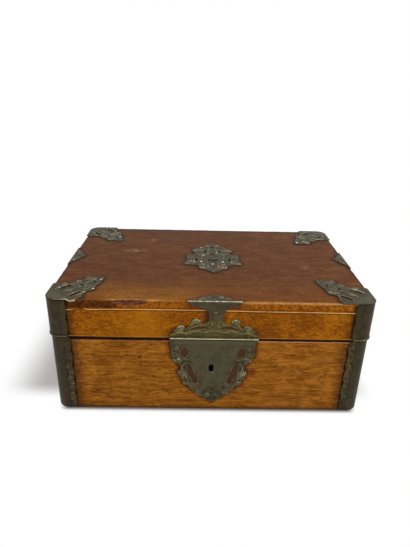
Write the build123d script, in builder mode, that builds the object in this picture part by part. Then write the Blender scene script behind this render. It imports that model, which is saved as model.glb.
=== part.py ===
import math
import os

from build123d import *

# A wooden box with a hinged lid, pierced sheet mounts, coin wells and a lock in its front board.
# Millimetres. +Z is up, +X is to the right, the front faces -Y.
# The origin is on the floor, under the middle of the carcase.

os.makedirs("parts", exist_ok=True)

# Carcase and lid
lid_length = 298.0
lid_depth = 202.0
body_height = 82.0
lid_height = 38.0
lid_overhang = 1.0
wall_thickness = 12.0
top_board_thickness = 8.0
top_board_shrinkage = 0.4
top_edge_arris = 0.8
bottom_board_thickness = 6.0
bottom_board_housing = 6.0
corner_radius = 10.0
seam_arris = 0.7

# Coin wells
front_well_depth = 100.0
cross_divider_spacing = 90.0
back_divider_x = 46.0
divider_thickness = 6.0
divider_height = 40.0
divider_arris = 1.2
wall_groove_depth = 3.0
divider_groove_depth = 2.0
groove_clearance = 0.1

# Hinges
hinge_set_in = 3.0
hinge_bevel_angle = 50.0
hinge_inset = 59.0
hinge_length = 38.0
hinge_leaf_width = 8.0
hinge_leaf_thickness = 1.2
hinge_leaf_gap = 0.1
knuckle_count = 3
knuckle_radius = 2.4
knuckle_end_gap = 0.1
knuckle_relief = 0.3
hinge_pin_radius = 1.2
hinge_pin_clearance = 0.05

# Sheet mounts
sheet_thickness = 1.0
corner_mount_arm = 20.0
corner_mount_wave = 1.3
corner_mount_seam_gap = 0.7
corner_mount_floor_gap = 0.6
body_mount_lobes = 3
lid_mount_lobes = 1
lip_height = 1.6
lip_stand = 0.8
fold_arris = 0.6
front_mount_x = 2.4
cartouche_x = 3.2
side_edge_mount_y = 3.0
stem_gap = 0.3

# Lock
lock_x = 1.2
lock_plate_half_width = 26.0
lock_plate_thickness = 1.2
lock_plate_drop = 40.0
selvage_thickness = 1.5
lock_case_half_width = 24.0
lock_case_depth = 8.0
lock_case_drop = 39.0
lock_case_wall = 0.8
lock_pocket_clearance = 0.1
keyhole_width = 4.0
keyhole_height = 8.0
keyhole_drop = 28.6
key_pin_radius = 0.8
key_pin_short = 1.0

# Bolt, staples, stumps and spring
bolt_travel = 6.0
bolt_thickness = 2.0
bolt_bar_drop = 15.5
bolt_bar_height = 12.0
bolt_bar_right = 12.0
bolt_talon_radius = 3.2
finger_drop = 11.0
finger_height = 4.0
finger_gap = 0.8
post_width = 4.0
eye_spacing = 18.0
eye_thickness = 3.0
eye_side = 1.4
eye_arris = 1.0
eye_gap_y = 0.3
eye_gap_z = 1.0
eye_foot = 2.0
staple_plate_length = 44.0
staple_plate_width = 7.0
staple_plate_thickness = 1.2
staple_slot_clearance = 0.8
stump_side = 3.0
stump_clearance = 0.05
stump_collar_side = 5.0
stump_past_bolt = 0.8
stump_places = (-12.0, 6.0)
spring_thickness = 0.5
spring_width = 3.0
spring_nose_x = -13.0
spring_nose_gap = 0.3
spring_bend = 1.2
spring_wall_gap = 1.2
spring_foot = 4.0
spring_tail_reach = 3.5
spring_tail_drop = 4.0

# Worked out from the sizes above
body_length = lid_length - 2 * lid_overhang
body_depth = lid_depth - 2 * lid_overhang
body_radius = corner_radius - lid_overhang
top_level = body_height + lid_height
rail_top = top_level - top_board_thickness
inner_length = body_length - 2 * wall_thickness
inner_depth = body_depth - 2 * wall_thickness
hinge_y = body_depth / 2 - hinge_set_in
hinge_x = lid_length / 2 - hinge_inset
divider_y = -inner_depth / 2 + front_well_depth + divider_thickness / 2
lock_plate_face = body_depth / 2 - wall_thickness
lock_plate_bottom = body_height - lock_plate_drop
lock_case_bottom = body_height - lock_case_drop
keyhole_top = body_height - keyhole_drop
bolt_bar_top = body_height - bolt_bar_drop
bolt_bar_bottom = bolt_bar_top - bolt_bar_height
finger_bottom = body_height - finger_drop
stump_height = bolt_bar_bottom + bolt_bar_height / 2
lock_case_back = lock_plate_face + lock_plate_thickness
lock_case_front = lock_case_back + lock_case_depth
lock_hollow_front = lock_case_front - lock_case_wall
lock_hollow_middle = (lock_case_back + lock_hollow_front) / 2
key_axis_height = keyhole_top - keyhole_width / 2
eye_hole_width = bolt_thickness + 2 * eye_gap_y
eye_width = eye_hole_width + 2 * eye_side
eye_bottom = finger_bottom - eye_gap_z - eye_foot
beyond = 20.0


def save(piece, name):
    """Name a finished piece and write it to its own file."""
    piece.part.label = name
    export_step(piece.part, "parts/" + name + ".step")


def long_wall(side, length, depth, radius, low, height):
    """Front or back board, with a mitre at each end."""
    outer_y = side * depth / 2
    inner_y = outer_y - side * wall_thickness
    with BuildPart() as board:
        with BuildSketch(Plane.XY.offset(low)):
            RectangleRounded(length, depth, radius)
            with BuildLine():
                Polyline(
                    (-length / 2, outer_y),
                    (-length / 2 + wall_thickness, inner_y),
                    (length / 2 - wall_thickness, inner_y),
                    (length / 2, outer_y),
                    close=True,
                )
            make_face(mode=Mode.INTERSECT)
        extrude(amount=height)
    return board


def short_wall(side, length, depth, radius, low, height):
    """Left or right board, with a mitre at each end."""
    outer_x = side * length / 2
    inner_x = outer_x - side * wall_thickness
    with BuildPart() as board:
        with BuildSketch(Plane.XY.offset(low)):
            RectangleRounded(length, depth, radius)
            with BuildLine():
                Polyline(
                    (outer_x, -depth / 2),
                    (inner_x, -depth / 2 + wall_thickness),
                    (inner_x, depth / 2 - wall_thickness),
                    (outer_x, depth / 2),
                    close=True,
                )
            make_face(mode=Mode.INTERSECT)
        extrude(amount=height)
    return board


def cut_bottom_rebate():
    """Rebate round the carcase's foot for the bottom board."""
    with BuildSketch(Plane.XY) as rebate:
        Rectangle(inner_length + 2 * bottom_board_housing, inner_depth + 2 * bottom_board_housing)
    extrude(rebate.sketch, amount=bottom_board_thickness, mode=Mode.SUBTRACT)


def cut_hinge_bevel(direction):
    """Bevel from the hinge axis to the back: the two bevels meet and stop the opened lid."""
    rise = direction * beyond * math.tan(math.radians(hinge_bevel_angle))
    with BuildSketch(Plane.YZ) as bevel:
        with BuildLine():
            Polyline(
                (hinge_y, body_height),
                (hinge_y + beyond, body_height),
                (hinge_y + beyond, body_height + rise),
                close=True,
            )
        make_face()
    extrude(bevel.sketch, amount=lid_length, both=True, mode=Mode.SUBTRACT)


def cut_hinge_beds(direction):
    """Beds for the two leaves, and the hollow round the knuckles."""
    bed_depth = hinge_leaf_gap + hinge_leaf_thickness
    for place in (-hinge_x, hinge_x):
        with BuildSketch(Plane.YZ.offset(place - hinge_length / 2)) as bed:
            with Locations((hinge_y - hinge_leaf_width / 2, body_height + direction * bed_depth / 2)):
                Rectangle(hinge_leaf_width, bed_depth)
            with Locations((hinge_y, body_height)):
                Circle(knuckle_radius + knuckle_relief)
        extrude(bed.sketch, amount=hinge_length, mode=Mode.SUBTRACT)


def cut_divider_groove(x, y, length_x, length_y):
    """Groove in a board or divider, from the floor of the wells to the divider's top."""
    with BuildSketch(Plane.XY.offset(bottom_board_thickness)) as groove:
        with Locations((x, y)):
            Rectangle(length_x, length_y)
    extrude(groove.sketch, amount=divider_height + groove_clearance, mode=Mode.SUBTRACT)


def keyhole_shape():
    """Upright slot with round ends, round the key's axis at its top."""
    with Locations((lock_x, keyhole_top - keyhole_height / 2)):
        SlotOverall(keyhole_height, keyhole_width, rotation=90)


groove_width = divider_thickness + 2 * groove_clearance
cross_places = (-cross_divider_spacing / 2, cross_divider_spacing / 2)
groove_middle_x = inner_length / 2 + wall_groove_depth / 2
groove_middle_y = inner_depth / 2 + wall_groove_depth / 2

body_walls = (body_length, body_depth, body_radius, 0, body_height)
rail_height = rail_top - body_height
lid_walls = (lid_length, lid_depth, corner_radius, body_height, rail_height)

# Carcase boards
front_wall = long_wall(-1, *body_walls)
with BuildPart() as front_board:
    add(front_wall.part)
    cut_bottom_rebate()
    for place in cross_places:
        cut_divider_groove(place, -groove_middle_y, groove_width, wall_groove_depth)
    # Pocket for the lock's case, open at the top and at the inner face
    with BuildSketch(Plane.XZ.offset(lock_plate_face)):
        with Locations((lock_x, (lock_case_bottom + body_height) / 2)):
            Rectangle(
                2 * (lock_case_half_width + lock_pocket_clearance),
                body_height - lock_case_bottom + 2 * lock_pocket_clearance,
            )
    extrude(amount=lock_case_front - lock_plate_face, mode=Mode.SUBTRACT)
    # Shallow bed that lets the lock plate lie flush with the inner face
    with BuildSketch(Plane.XZ.offset(lock_plate_face)):
        with Locations((lock_x, (lock_plate_bottom + body_height) / 2)):
            Rectangle(
                2 * (lock_plate_half_width + lock_pocket_clearance),
                body_height - lock_plate_bottom + 2 * lock_pocket_clearance,
            )
    extrude(amount=lock_plate_thickness, mode=Mode.SUBTRACT)
    # Bed for the turned top of the lock plate
    with BuildSketch(Plane.XZ.offset(lock_plate_face)):
        with Locations((lock_x, body_height - selvage_thickness / 2)):
            Rectangle(2 * (lock_plate_half_width + lock_pocket_clearance), selvage_thickness)
    extrude(amount=lock_case_front - lock_plate_face, mode=Mode.SUBTRACT)
    with BuildSketch(Plane.XZ.offset(lock_plate_face)):
        keyhole_shape()
    extrude(amount=wall_thickness, mode=Mode.SUBTRACT)
    front_edges = front_board.edges().filter_by(Axis.X).group_by(Axis.Y)[0].group_by(Axis.Z)[-1]
    chamfer(front_edges, seam_arris)
save(front_board, "front_board")

back_wall = long_wall(1, *body_walls)
with BuildPart() as back_board:
    add(back_wall.part)
    cut_bottom_rebate()
    cut_divider_groove(back_divider_x, groove_middle_y, groove_width, wall_groove_depth)
    cut_hinge_bevel(-1)
    cut_hinge_beds(-1)
save(back_board, "back_board")

for side, name in ((-1, "left_board"), (1, "right_board")):
    side_wall = short_wall(side, *body_walls)
    with BuildPart() as side_board:
        add(side_wall.part)
        cut_bottom_rebate()
        cut_divider_groove(side * groove_middle_x, divider_y, wall_groove_depth, groove_width)
        cut_hinge_bevel(-1)
    save(side_board, name)

with BuildPart() as bottom_board:
    with BuildSketch(Plane.XY):
        Rectangle(inner_length + 2 * bottom_board_housing, inner_depth + 2 * bottom_board_housing)
    extrude(amount=bottom_board_thickness)
save(bottom_board, "bottom_board")

# Dividers of the coin wells
divider_groove_y = divider_thickness / 2 - divider_groove_depth / 2
with BuildPart() as long_divider:
    with BuildSketch(Plane.XY.offset(bottom_board_thickness)):
        with Locations((0, divider_y)):
            Rectangle(inner_length + 2 * wall_groove_depth, divider_thickness)
    extrude(amount=divider_height)
    chamfer(long_divider.edges().filter_by(Axis.X).group_by(Axis.Z)[-1], divider_arris)
    for place in cross_places:
        cut_divider_groove(place, divider_y - divider_groove_y, groove_width, divider_groove_depth)
    cut_divider_groove(back_divider_x, divider_y + divider_groove_y, groove_width, divider_groove_depth)
save(long_divider, "long_divider")


def cross_divider(x, low_y, high_y, name):
    """Divider across the box, from the groove in a wall to the groove in the long divider."""
    with BuildPart() as divider:
        with BuildSketch(Plane.XY.offset(bottom_board_thickness)):
            with Locations((x, (low_y + high_y) / 2)):
                Rectangle(divider_thickness, high_y - low_y)
        extrude(amount=divider_height)
        chamfer(divider.edges().filter_by(Axis.Y).group_by(Axis.Z)[-1], divider_arris)
    save(divider, name)


front_seat = -inner_depth / 2 - wall_groove_depth
back_seat = inner_depth / 2 + wall_groove_depth
divider_front_seat = divider_y - divider_thickness / 2 + divider_groove_depth
divider_back_seat = divider_y + divider_thickness / 2 - divider_groove_depth
cross_divider(cross_places[0], front_seat, divider_front_seat, "left_cross_divider")
cross_divider(cross_places[1], front_seat, divider_front_seat, "right_cross_divider")
cross_divider(back_divider_x, divider_back_seat, back_seat, "back_cross_divider")

# Lid boards
lid_front_wall = long_wall(-1, *lid_walls)
with BuildPart() as lid_front_rail:
    add(lid_front_wall.part)
    with BuildSketch(Plane.XY.offset(body_height)):
        with Locations((lock_x, -lock_hollow_middle)):
            Rectangle(staple_plate_length, staple_plate_width)
    extrude(amount=staple_plate_thickness, mode=Mode.SUBTRACT)
    seam_edges = lid_front_rail.edges().filter_by(Axis.X).group_by(Axis.Y)[0].group_by(Axis.Z)[0]
    chamfer(seam_edges, seam_arris)
save(lid_front_rail, "lid_front_rail")

lid_back_wall = long_wall(1, *lid_walls)
with BuildPart() as lid_back_rail:
    add(lid_back_wall.part)
    cut_hinge_bevel(1)
    cut_hinge_beds(1)
save(lid_back_rail, "lid_back_rail")

for side, name in ((-1, "lid_left_rail"), (1, "lid_right_rail")):
    lid_side_wall = short_wall(side, *lid_walls)
    with BuildPart() as lid_side_rail:
        add(lid_side_wall.part)
        cut_hinge_bevel(1)
    save(lid_side_rail, name)

with BuildPart() as lid_top_board:
    with BuildSketch(Plane.XY.offset(rail_top)):
        RectangleRounded(lid_length, lid_depth - 2 * top_board_shrinkage, corner_radius)
    extrude(amount=top_board_thickness)
    chamfer(lid_top_board.faces().sort_by(Axis.Z)[-1].edges(), top_edge_arris)
save(lid_top_board, "lid_top_board")


def bulged_arc(start, end, bulge):
    """Arc whose middle stands off to the left of the way from start to end."""
    span = math.dist(start, end)
    middle_x = (start[0] + end[0]) / 2 - bulge * (end[1] - start[1]) / span
    middle_y = (start[1] + end[1]) / 2 + bulge * (end[0] - start[0]) / span
    ThreePointArc(start, (middle_x, middle_y), end)


def outline(points, bulges):
    """Edge run clockwise through the points: straight for 0, a full arc above it, a hollow one below."""
    for start, end, bulge in zip(points[:-1], points[1:], bulges):
        if bulge == 0:
            Line(start, end)
        else:
            bulged_arc(start, end, bulge)


def even_plate(points, bulges):
    """Area of a plate that is the same on both sides of its middle line."""
    with BuildLine() as edge:
        outline(points, bulges)
        mirror(about=Plane.YZ)
        for x, y in (points[0], points[-1]):
            if x != 0:
                Line((x, y), (-x, y))
    make_face(edge.edges())


def slot_opening(length, width, turn):
    """Long opening with straight, filed sides and pointed ends."""
    shoulder = (length - width) / 2
    Polygon(
        (-length / 2, 0),
        (-shoulder, width / 2),
        (shoulder, width / 2),
        (length / 2, 0),
        (shoulder, -width / 2),
        (-shoulder, -width / 2),
        rotation=turn,
        align=None,
        mode=Mode.SUBTRACT,
    )


def paired_openings(corners):
    """The same filed opening on both sides of the middle line."""
    Polygon(*corners, align=None, mode=Mode.SUBTRACT)
    Polygon(*[(-x, y) for x, y in reversed(corners)], align=None, mode=Mode.SUBTRACT)


def paired_crescents(start, end, outer_bulge, inner_bulge):
    """Curved opening between two arcs, on both sides of the middle line."""
    for side in (-1, 1):
        near = (side * start[0], start[1])
        far = (side * end[0], end[1])
        with BuildLine() as edge:
            bulged_arc(near, far, side * outer_bulge)
            bulged_arc(near, far, side * inner_bulge)
        make_face(edge.edges(), mode=Mode.SUBTRACT)


# Corner mounts round the upright corners
def scallop_trim(inner_edge, far_edge, low, high, lobes):
    """Area beyond a scalloped edge: the lobes reach the inner edge, the notches stop short."""
    pitch = (high - low) / lobes
    direction = 1 if far_edge > inner_edge else -1
    notch = inner_edge - direction * corner_mount_wave
    with BuildLine() as edge:
        for number in range(lobes):
            start = (notch, low + number * pitch)
            end = (notch, low + (number + 1) * pitch)
            bulged_arc(start, end, -direction * corner_mount_wave)
        Polyline((notch, high), (far_edge, high), (far_edge, low), (notch, low))
    make_face(edge.edges())


def corner_mount(length, depth, radius, low, high, lobes, has_lip):
    """Bent sheet round the front left corner, with a rolled lip at its foot on the lid."""
    arm = corner_mount_arm
    outer_x = -length / 2 - sheet_thickness
    outer_y = -depth / 2 - sheet_thickness
    with BuildPart() as mount:
        with BuildSketch(Plane.XY.offset(low)):
            RectangleRounded(-2 * outer_x, -2 * outer_y, radius + sheet_thickness)
            RectangleRounded(length, depth, radius, mode=Mode.SUBTRACT)
            with Locations((outer_x + arm / 2, outer_y + arm / 2)):
                Rectangle(arm, arm, mode=Mode.INTERSECT)
        extrude(amount=high - low)
        with BuildSketch(Plane.XZ.offset(-outer_y - sheet_thickness)):
            scallop_trim(outer_x + arm, outer_x + arm + sheet_thickness, low, high, lobes)
        extrude(amount=sheet_thickness, mode=Mode.SUBTRACT)
        with BuildSketch(Plane.YZ.offset(outer_x)):
            scallop_trim(outer_y + arm, outer_y + arm + sheet_thickness, low, high, lobes)
        extrude(amount=sheet_thickness, mode=Mode.SUBTRACT)
        if has_lip:
            lip_arm = arm - corner_mount_wave
            stand = sheet_thickness + lip_stand
            with BuildSketch(Plane.XY.offset(low)):
                RectangleRounded(length + 2 * stand, depth + 2 * stand, radius + stand)
                RectangleRounded(length, depth, radius, mode=Mode.SUBTRACT)
                with Locations((outer_x - lip_stand + lip_arm / 2, outer_y - lip_stand + lip_arm / 2)):
                    Rectangle(lip_arm, lip_arm, mode=Mode.INTERSECT)
            extrude(amount=lip_height)
    return mount


def four_corners(pattern, bevel_direction, name):
    """The pattern at the front left, and its mirror images at the other three corners."""
    with BuildPart() as front_left:
        add(pattern.part)
    save(front_left, name + "_front_left")
    with BuildPart() as front_right:
        mirror(pattern.part, about=Plane.YZ)
    save(front_right, name + "_front_right")
    with BuildPart() as back_left:
        mirror(pattern.part, about=Plane.XZ)
        cut_hinge_bevel(bevel_direction)
    save(back_left, name + "_back_left")
    with BuildPart() as back_right:
        mirror(back_left.part, about=Plane.YZ)
    save(back_right, name + "_back_right")


body_mount_low = corner_mount_floor_gap
body_mount_high = body_height - corner_mount_seam_gap
body_mount = corner_mount(
    body_length, body_depth, body_radius, body_mount_low, body_mount_high, body_mount_lobes, False
)
four_corners(body_mount, -1, "body_corner_mount")

lid_mount_low = body_height + corner_mount_seam_gap
lid_mount = corner_mount(
    lid_length, lid_depth, corner_radius, lid_mount_low, top_level, lid_mount_lobes, True
)
four_corners(lid_mount, 1, "lid_corner_mount")

# Pierced leaves on the lid's corners: each point is a distance from the side edge and from the front edge
leaf_points = (
    (0, 33), (15, 34), (18.5, 37.5), (27, 43), (27.5, 51), (45.5, 51.5),
    (42.6, 32), (42, 25), (34, 15), (33, 0),
)
leaf_bulges = (1.4, 0, 1.5, 0, 1.6, 1.5, 0, 1.6, 0.7)
leaf_slots = ((26.5, 11.5), (13.5, 25.5))
leaf_slot_length = 12.0
leaf_slot_width = 3.8
leaf_eyes = ((38, 41), (28, 32))
leaf_eye_radius = 2.0

leaf_origin_x = -lid_length / 2 - sheet_thickness
leaf_origin_y = -lid_depth / 2 - sheet_thickness
with BuildPart() as corner_leaf:
    with BuildSketch(Plane.XY.offset(top_level)):
        with BuildLine():
            leaf_edge = [(leaf_origin_x + p, leaf_origin_y + q) for p, q in leaf_points]
            outline(leaf_edge, leaf_bulges)
            Polyline(leaf_edge[-1], (leaf_origin_x, leaf_origin_y), leaf_edge[0])
        make_face()
        RectangleRounded(
            lid_length + 2 * sheet_thickness,
            lid_depth + 2 * sheet_thickness,
            corner_radius + sheet_thickness,
            mode=Mode.INTERSECT,
        )
        with Locations([(leaf_origin_x + p, leaf_origin_y + q) for p, q in leaf_slots]):
            slot_opening(leaf_slot_length, leaf_slot_width, 45)
        with Locations([(leaf_origin_x + p, leaf_origin_y + q) for p, q in leaf_eyes]):
            RegularPolygon(leaf_eye_radius, 6, mode=Mode.SUBTRACT)
    extrude(amount=sheet_thickness)
four_corners(corner_leaf, 1, "top_corner_leaf")

# Cartouche in the middle of the top
cartouche_points = (
    (0, 50.2), (8, 44.5), (17, 35.5), (22, 24.5), (19, 18.5), (27.8, 15), (28, 1), (30.3, -9),
    (27.5, -14.5), (14.4, -16.5), (11.5, -27.5), (0, -36),
)
cartouche_bulges = (0.8, 0, 2.0, 0, -1.6, 0, 0, 1.6, -1.0, 2.0, 0.8)
cartouche_slot_length = 11.0
cartouche_slot_width = 5.6
cartouche_slot_y = -0.6
cartouche_eyes = ((0, 40, 1.9), (0, 19.5, 2.6))
cartouche_upper_opening = ((8, 30.5), (10.2, 27), (8, 23.5), (6.4, 27))
cartouche_lower_opening = ((18, 9.5), (18.8, 3.1), (16.5, -3), (15.7, 3.4))
with BuildPart() as top_cartouche:
    with BuildSketch(Plane.XY.offset(top_level).shift_origin((cartouche_x, 0, top_level))):
        even_plate(cartouche_points, cartouche_bulges)
        with Locations((0, cartouche_slot_y)):
            slot_opening(cartouche_slot_length, cartouche_slot_width, 0)
        for x, y, eye_radius in cartouche_eyes:
            with Locations((x, y)):
                RegularPolygon(eye_radius, 6, mode=Mode.SUBTRACT)
        paired_openings(cartouche_upper_opening)
        paired_openings(cartouche_lower_opening)
    extrude(amount=sheet_thickness)
save(top_cartouche, "top_cartouche")

# Edge mounts, folded over the lid's top edge
edge_leaf_points = ((0, 15), (4, 13), (9, 10), (15, 5.5), (23, 3), (26, 0))
edge_leaf_bulges = (0, 0, 0.9, 0, 0)
edge_drop_points = ((26, 0), (22.5, -2.2), (21.2, -6), (10.6, -7), (6.9, -10.3), (0, -13.8))
edge_drop_bulges = (0, 0, -1.4, 0, 1.0)


def edge_mount(plan_plane, face_plane):
    """Folded sheet: a leaf lying on the top board and a scrolled drop on the board's edge."""
    with BuildPart() as mount:
        with BuildSketch(plan_plane):
            even_plate(edge_leaf_points, edge_leaf_bulges)
        extrude(amount=sheet_thickness)
        with BuildSketch(face_plane):
            even_plate(edge_drop_points, edge_drop_bulges)
        extrude(amount=-sheet_thickness)
        fold = mount.edges().filter_by(GeomType.LINE).sort_by(Edge.length)[-1]
        chamfer(fold, fold_arris)
    return mount


front_drop_plane = Plane(
    origin=(front_mount_x, -lid_depth / 2 - sheet_thickness, top_level + sheet_thickness),
    x_dir=(1, 0, 0),
    z_dir=(0, -1, 0),
)
front_leaf_plane = Plane(
    origin=(front_mount_x, -lid_depth / 2 - sheet_thickness, top_level),
    x_dir=(1, 0, 0),
    z_dir=(0, 0, 1),
)
front_edge_mount = edge_mount(front_leaf_plane, front_drop_plane)
save(front_edge_mount, "front_edge_mount")

for side, name in ((-1, "left_edge_mount"), (1, "right_edge_mount")):
    edge_x = side * (lid_length / 2 + sheet_thickness)
    side_drop_plane = Plane(
        origin=(edge_x, side_edge_mount_y, top_level + sheet_thickness),
        x_dir=(0, side, 0),
        z_dir=(side, 0, 0),
    )
    side_leaf_plane = Plane(
        origin=(edge_x, side_edge_mount_y, top_level),
        x_dir=(0, side, 0),
        z_dir=(0, 0, 1),
    )
    side_edge_mount = edge_mount(side_leaf_plane, side_drop_plane)
    save(side_edge_mount, name)

# Lock mount on the lid, over the seam: its stem ends under the round nub of the front edge mount.
# Heights are measured from the seam.
nub_side, nub_side_drop = edge_drop_points[-2]
nub_drop = edge_drop_points[-1][1]
stem_half_width = nub_side - stem_gap
stem_middle = top_level + sheet_thickness + nub_drop - stem_gap
stem_shoulder = top_level + sheet_thickness + nub_side_drop - 2 * stem_gap
lid_lock_points = (
    (0, stem_middle - body_height), (stem_half_width, stem_shoulder - body_height),
    (stem_half_width, 19), (9.4, 16), (14, 16.6), (22.5, 16), (26.6, 11.4), (35, 10.6),
    (40.2, 4.5), (41, 0.2),
)
lid_lock_bulges = (-1.0, 0, 0, 0, 4.1, 0, 2.7, 0.8, 0)
crescent_start = (4.5, 9.5)
crescent_end = (22.5, 8.3)
crescent_outer_bulge = 3.8
crescent_inner_bulge = 0.8
lid_seam_plane = Plane.XZ.offset(lid_depth / 2).shift_origin((front_mount_x, -lid_depth / 2, body_height))
with BuildPart() as lid_lock_mount:
    with BuildSketch(lid_seam_plane):
        even_plate(lid_lock_points, lid_lock_bulges)
        paired_crescents(crescent_start, crescent_end, crescent_outer_bulge, crescent_inner_bulge)
    extrude(amount=sheet_thickness)
    with BuildSketch(lid_seam_plane):
        with Locations((0, lid_lock_points[-1][1] + lip_height / 2)):
            Rectangle(2 * lid_lock_points[-1][0], lip_height)
    extrude(amount=sheet_thickness + lip_stand)
save(lid_lock_mount, "lid_lock_mount")

# Escutcheon on the carcase, with the keyhole: heights are measured from the seam
escutcheon_points = (
    (41, -0.7), (39.6, -15), (34.4, -28), (30.5, -32), (33.4, -36.8), (28.6, -48), (26.8, -53.2),
    (21.5, -56), (13.5, -65.4), (7.5, -68.8), (0, -73.4),
)
escutcheon_bulges = (0, 2.2, 0, 0, 1.6, 1.0, 0, 1.6, 0, 0.8)
escutcheon_upper_opening = ((26.5, -11.5), (30.2, -16.7), (26, -21.5), (23.7, -16.4))
escutcheon_lower_opening = ((24.2, -28), (22.4, -41), (18, -51), (13.8, -48.5), (19.5, -35))
escutcheon_diamond_y = -57.5
escutcheon_diamond_side = 3.4
body_seam_plane = Plane.XZ.offset(body_depth / 2).shift_origin((front_mount_x, -body_depth / 2, body_height))
with BuildPart() as lock_escutcheon:
    with BuildSketch(body_seam_plane):
        even_plate(escutcheon_points, escutcheon_bulges)
        paired_openings(escutcheon_upper_opening)
        paired_openings(escutcheon_lower_opening)
        with Locations((0, escutcheon_diamond_y)):
            Rectangle(
                escutcheon_diamond_side,
                escutcheon_diamond_side,
                rotation=45,
                mode=Mode.SUBTRACT,
            )
    extrude(amount=sheet_thickness)
    with BuildSketch(Plane.XZ.offset(body_depth / 2)):
        keyhole_shape()
    extrude(amount=sheet_thickness, mode=Mode.SUBTRACT)
save(lock_escutcheon, "lock_escutcheon")

# Lock plate with its turned top, let into the inner face of the front board
eye_places = (-eye_spacing / 2, eye_spacing / 2)
with BuildPart() as lock_plate:
    with BuildSketch(Plane.XZ.offset(lock_plate_face)):
        with Locations((lock_x, (lock_plate_bottom + body_height) / 2)):
            Rectangle(2 * lock_plate_half_width, body_height - lock_plate_bottom)
    extrude(amount=lock_plate_thickness)
    with BuildSketch(Plane.XY.offset(body_height - selvage_thickness)):
        with Locations((lock_x, -(lock_plate_face + lock_case_front) / 2)):
            Rectangle(2 * lock_plate_half_width, lock_case_front - lock_plate_face)
    extrude(amount=selvage_thickness)
    with BuildSketch(Plane.XY.offset(body_height - selvage_thickness)):
        with Locations([(lock_x + place, -lock_hollow_middle) for place in eye_places]):
            Rectangle(eye_thickness + 2 * staple_slot_clearance, lock_hollow_front - lock_case_back)
    extrude(amount=selvage_thickness, mode=Mode.SUBTRACT)
save(lock_plate, "lock_plate")

# Lock case: a shallow box, open towards the lock plate and towards the turned top
case_top = body_height - selvage_thickness
with BuildPart() as lock_case:
    with BuildSketch(Plane.XZ.offset(lock_case_back)):
        with Locations((lock_x, (lock_case_bottom + case_top) / 2)):
            Rectangle(2 * lock_case_half_width, case_top - lock_case_bottom)
    extrude(amount=lock_case_depth)
    with BuildSketch(Plane.XZ.offset(lock_case_back)):
        with Locations((lock_x, (lock_case_bottom + lock_case_wall + case_top) / 2)):
            Rectangle(
                2 * (lock_case_half_width - lock_case_wall),
                case_top - lock_case_bottom - lock_case_wall,
            )
    extrude(amount=lock_case_depth - lock_case_wall, mode=Mode.SUBTRACT)
    with BuildSketch(Plane.XZ.offset(lock_case_back)):
        keyhole_shape()
    extrude(amount=lock_case_depth, mode=Mode.SUBTRACT)
save(lock_case, "lock_case")

with BuildPart() as key_pin:
    with BuildSketch(Plane.XZ.offset(lock_case_back)):
        with Locations((lock_x, key_axis_height)):
            Circle(key_pin_radius)
    extrude(amount=lock_case_depth - lock_case_wall - key_pin_short)
save(key_pin, "key_pin")

# Bolt: a bar with two posts, whose fingers slide through the staple's eyes
bolt_back = lock_hollow_middle - bolt_thickness / 2
bolt_front = bolt_back + bolt_thickness
stump_hole = stump_side + 2 * stump_clearance
post_reach = eye_thickness / 2 + finger_gap + bolt_travel
bolt_left = eye_places[0] - post_reach - post_width
with BuildPart() as lock_bolt:
    with BuildSketch(Plane.XZ.offset(bolt_back).shift_origin((lock_x, -bolt_back, 0))):
        with Locations(((bolt_left + bolt_bar_right) / 2, (bolt_bar_bottom + bolt_bar_top) / 2)):
            Rectangle(bolt_bar_right - bolt_left, bolt_bar_top - bolt_bar_bottom)
        for place in eye_places:
            post_right = place - post_reach
            finger_tip = post_right + bolt_travel
            with BuildLine():
                Polyline(
                    (post_right - post_width, bolt_bar_top),
                    (post_right - post_width, finger_bottom + finger_height),
                    (finger_tip, finger_bottom + finger_height),
                    (finger_tip, finger_bottom),
                    (post_right, finger_bottom),
                    (post_right, bolt_bar_top),
                    close=True,
                )
            make_face()
        with Locations([(place - bolt_travel / 2, stump_height) for place in stump_places]):
            Rectangle(stump_hole + bolt_travel, stump_hole, mode=Mode.SUBTRACT)
        with Locations((-bolt_travel / 2, bolt_bar_bottom)):
            Circle(bolt_talon_radius, mode=Mode.SUBTRACT)
    extrude(amount=bolt_thickness)
save(lock_bolt, "lock_bolt")

# Square stumps on the lock plate, which carry the bolt
collar_end = bolt_back - stump_clearance
with BuildPart() as lock_stumps:
    with BuildSketch(Plane.XZ.offset(lock_case_back).shift_origin((lock_x, -lock_case_back, 0))):
        with Locations([(place, stump_height) for place in stump_places]):
            Rectangle(stump_collar_side, stump_collar_side)
    extrude(amount=collar_end - lock_case_back)
    with BuildSketch(Plane.XZ.offset(lock_case_back).shift_origin((lock_x, -lock_case_back, 0))):
        with Locations([(place, stump_height) for place in stump_places]):
            Rectangle(stump_side, stump_side)
    extrude(amount=bolt_front + stump_past_bolt - lock_case_back)
save(lock_stumps, "lock_stumps")

# Bent leaf spring on the case's floor, with its nose under the bolt
spring_floor = lock_case_bottom + lock_case_wall + spring_thickness / 2
spring_left = -lock_case_half_width + lock_case_wall + spring_wall_gap
spring_nose_height = bolt_bar_bottom - spring_nose_gap
spring_back = lock_hollow_middle - spring_width / 2
with BuildPart() as lock_spring:
    with BuildSketch(Plane.XZ.offset(spring_back).shift_origin((lock_x, -spring_back, 0))):
        with BuildLine():
            FilletPolyline(
                (spring_nose_x + spring_foot, spring_floor),
                (spring_left, spring_floor),
                (spring_nose_x, spring_nose_height),
                (spring_nose_x + spring_tail_reach, spring_nose_height - spring_tail_drop),
                radius=spring_bend,
            )
        trace(line_width=spring_thickness)
    extrude(amount=spring_width)
save(lock_spring, "lock_spring")

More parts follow.
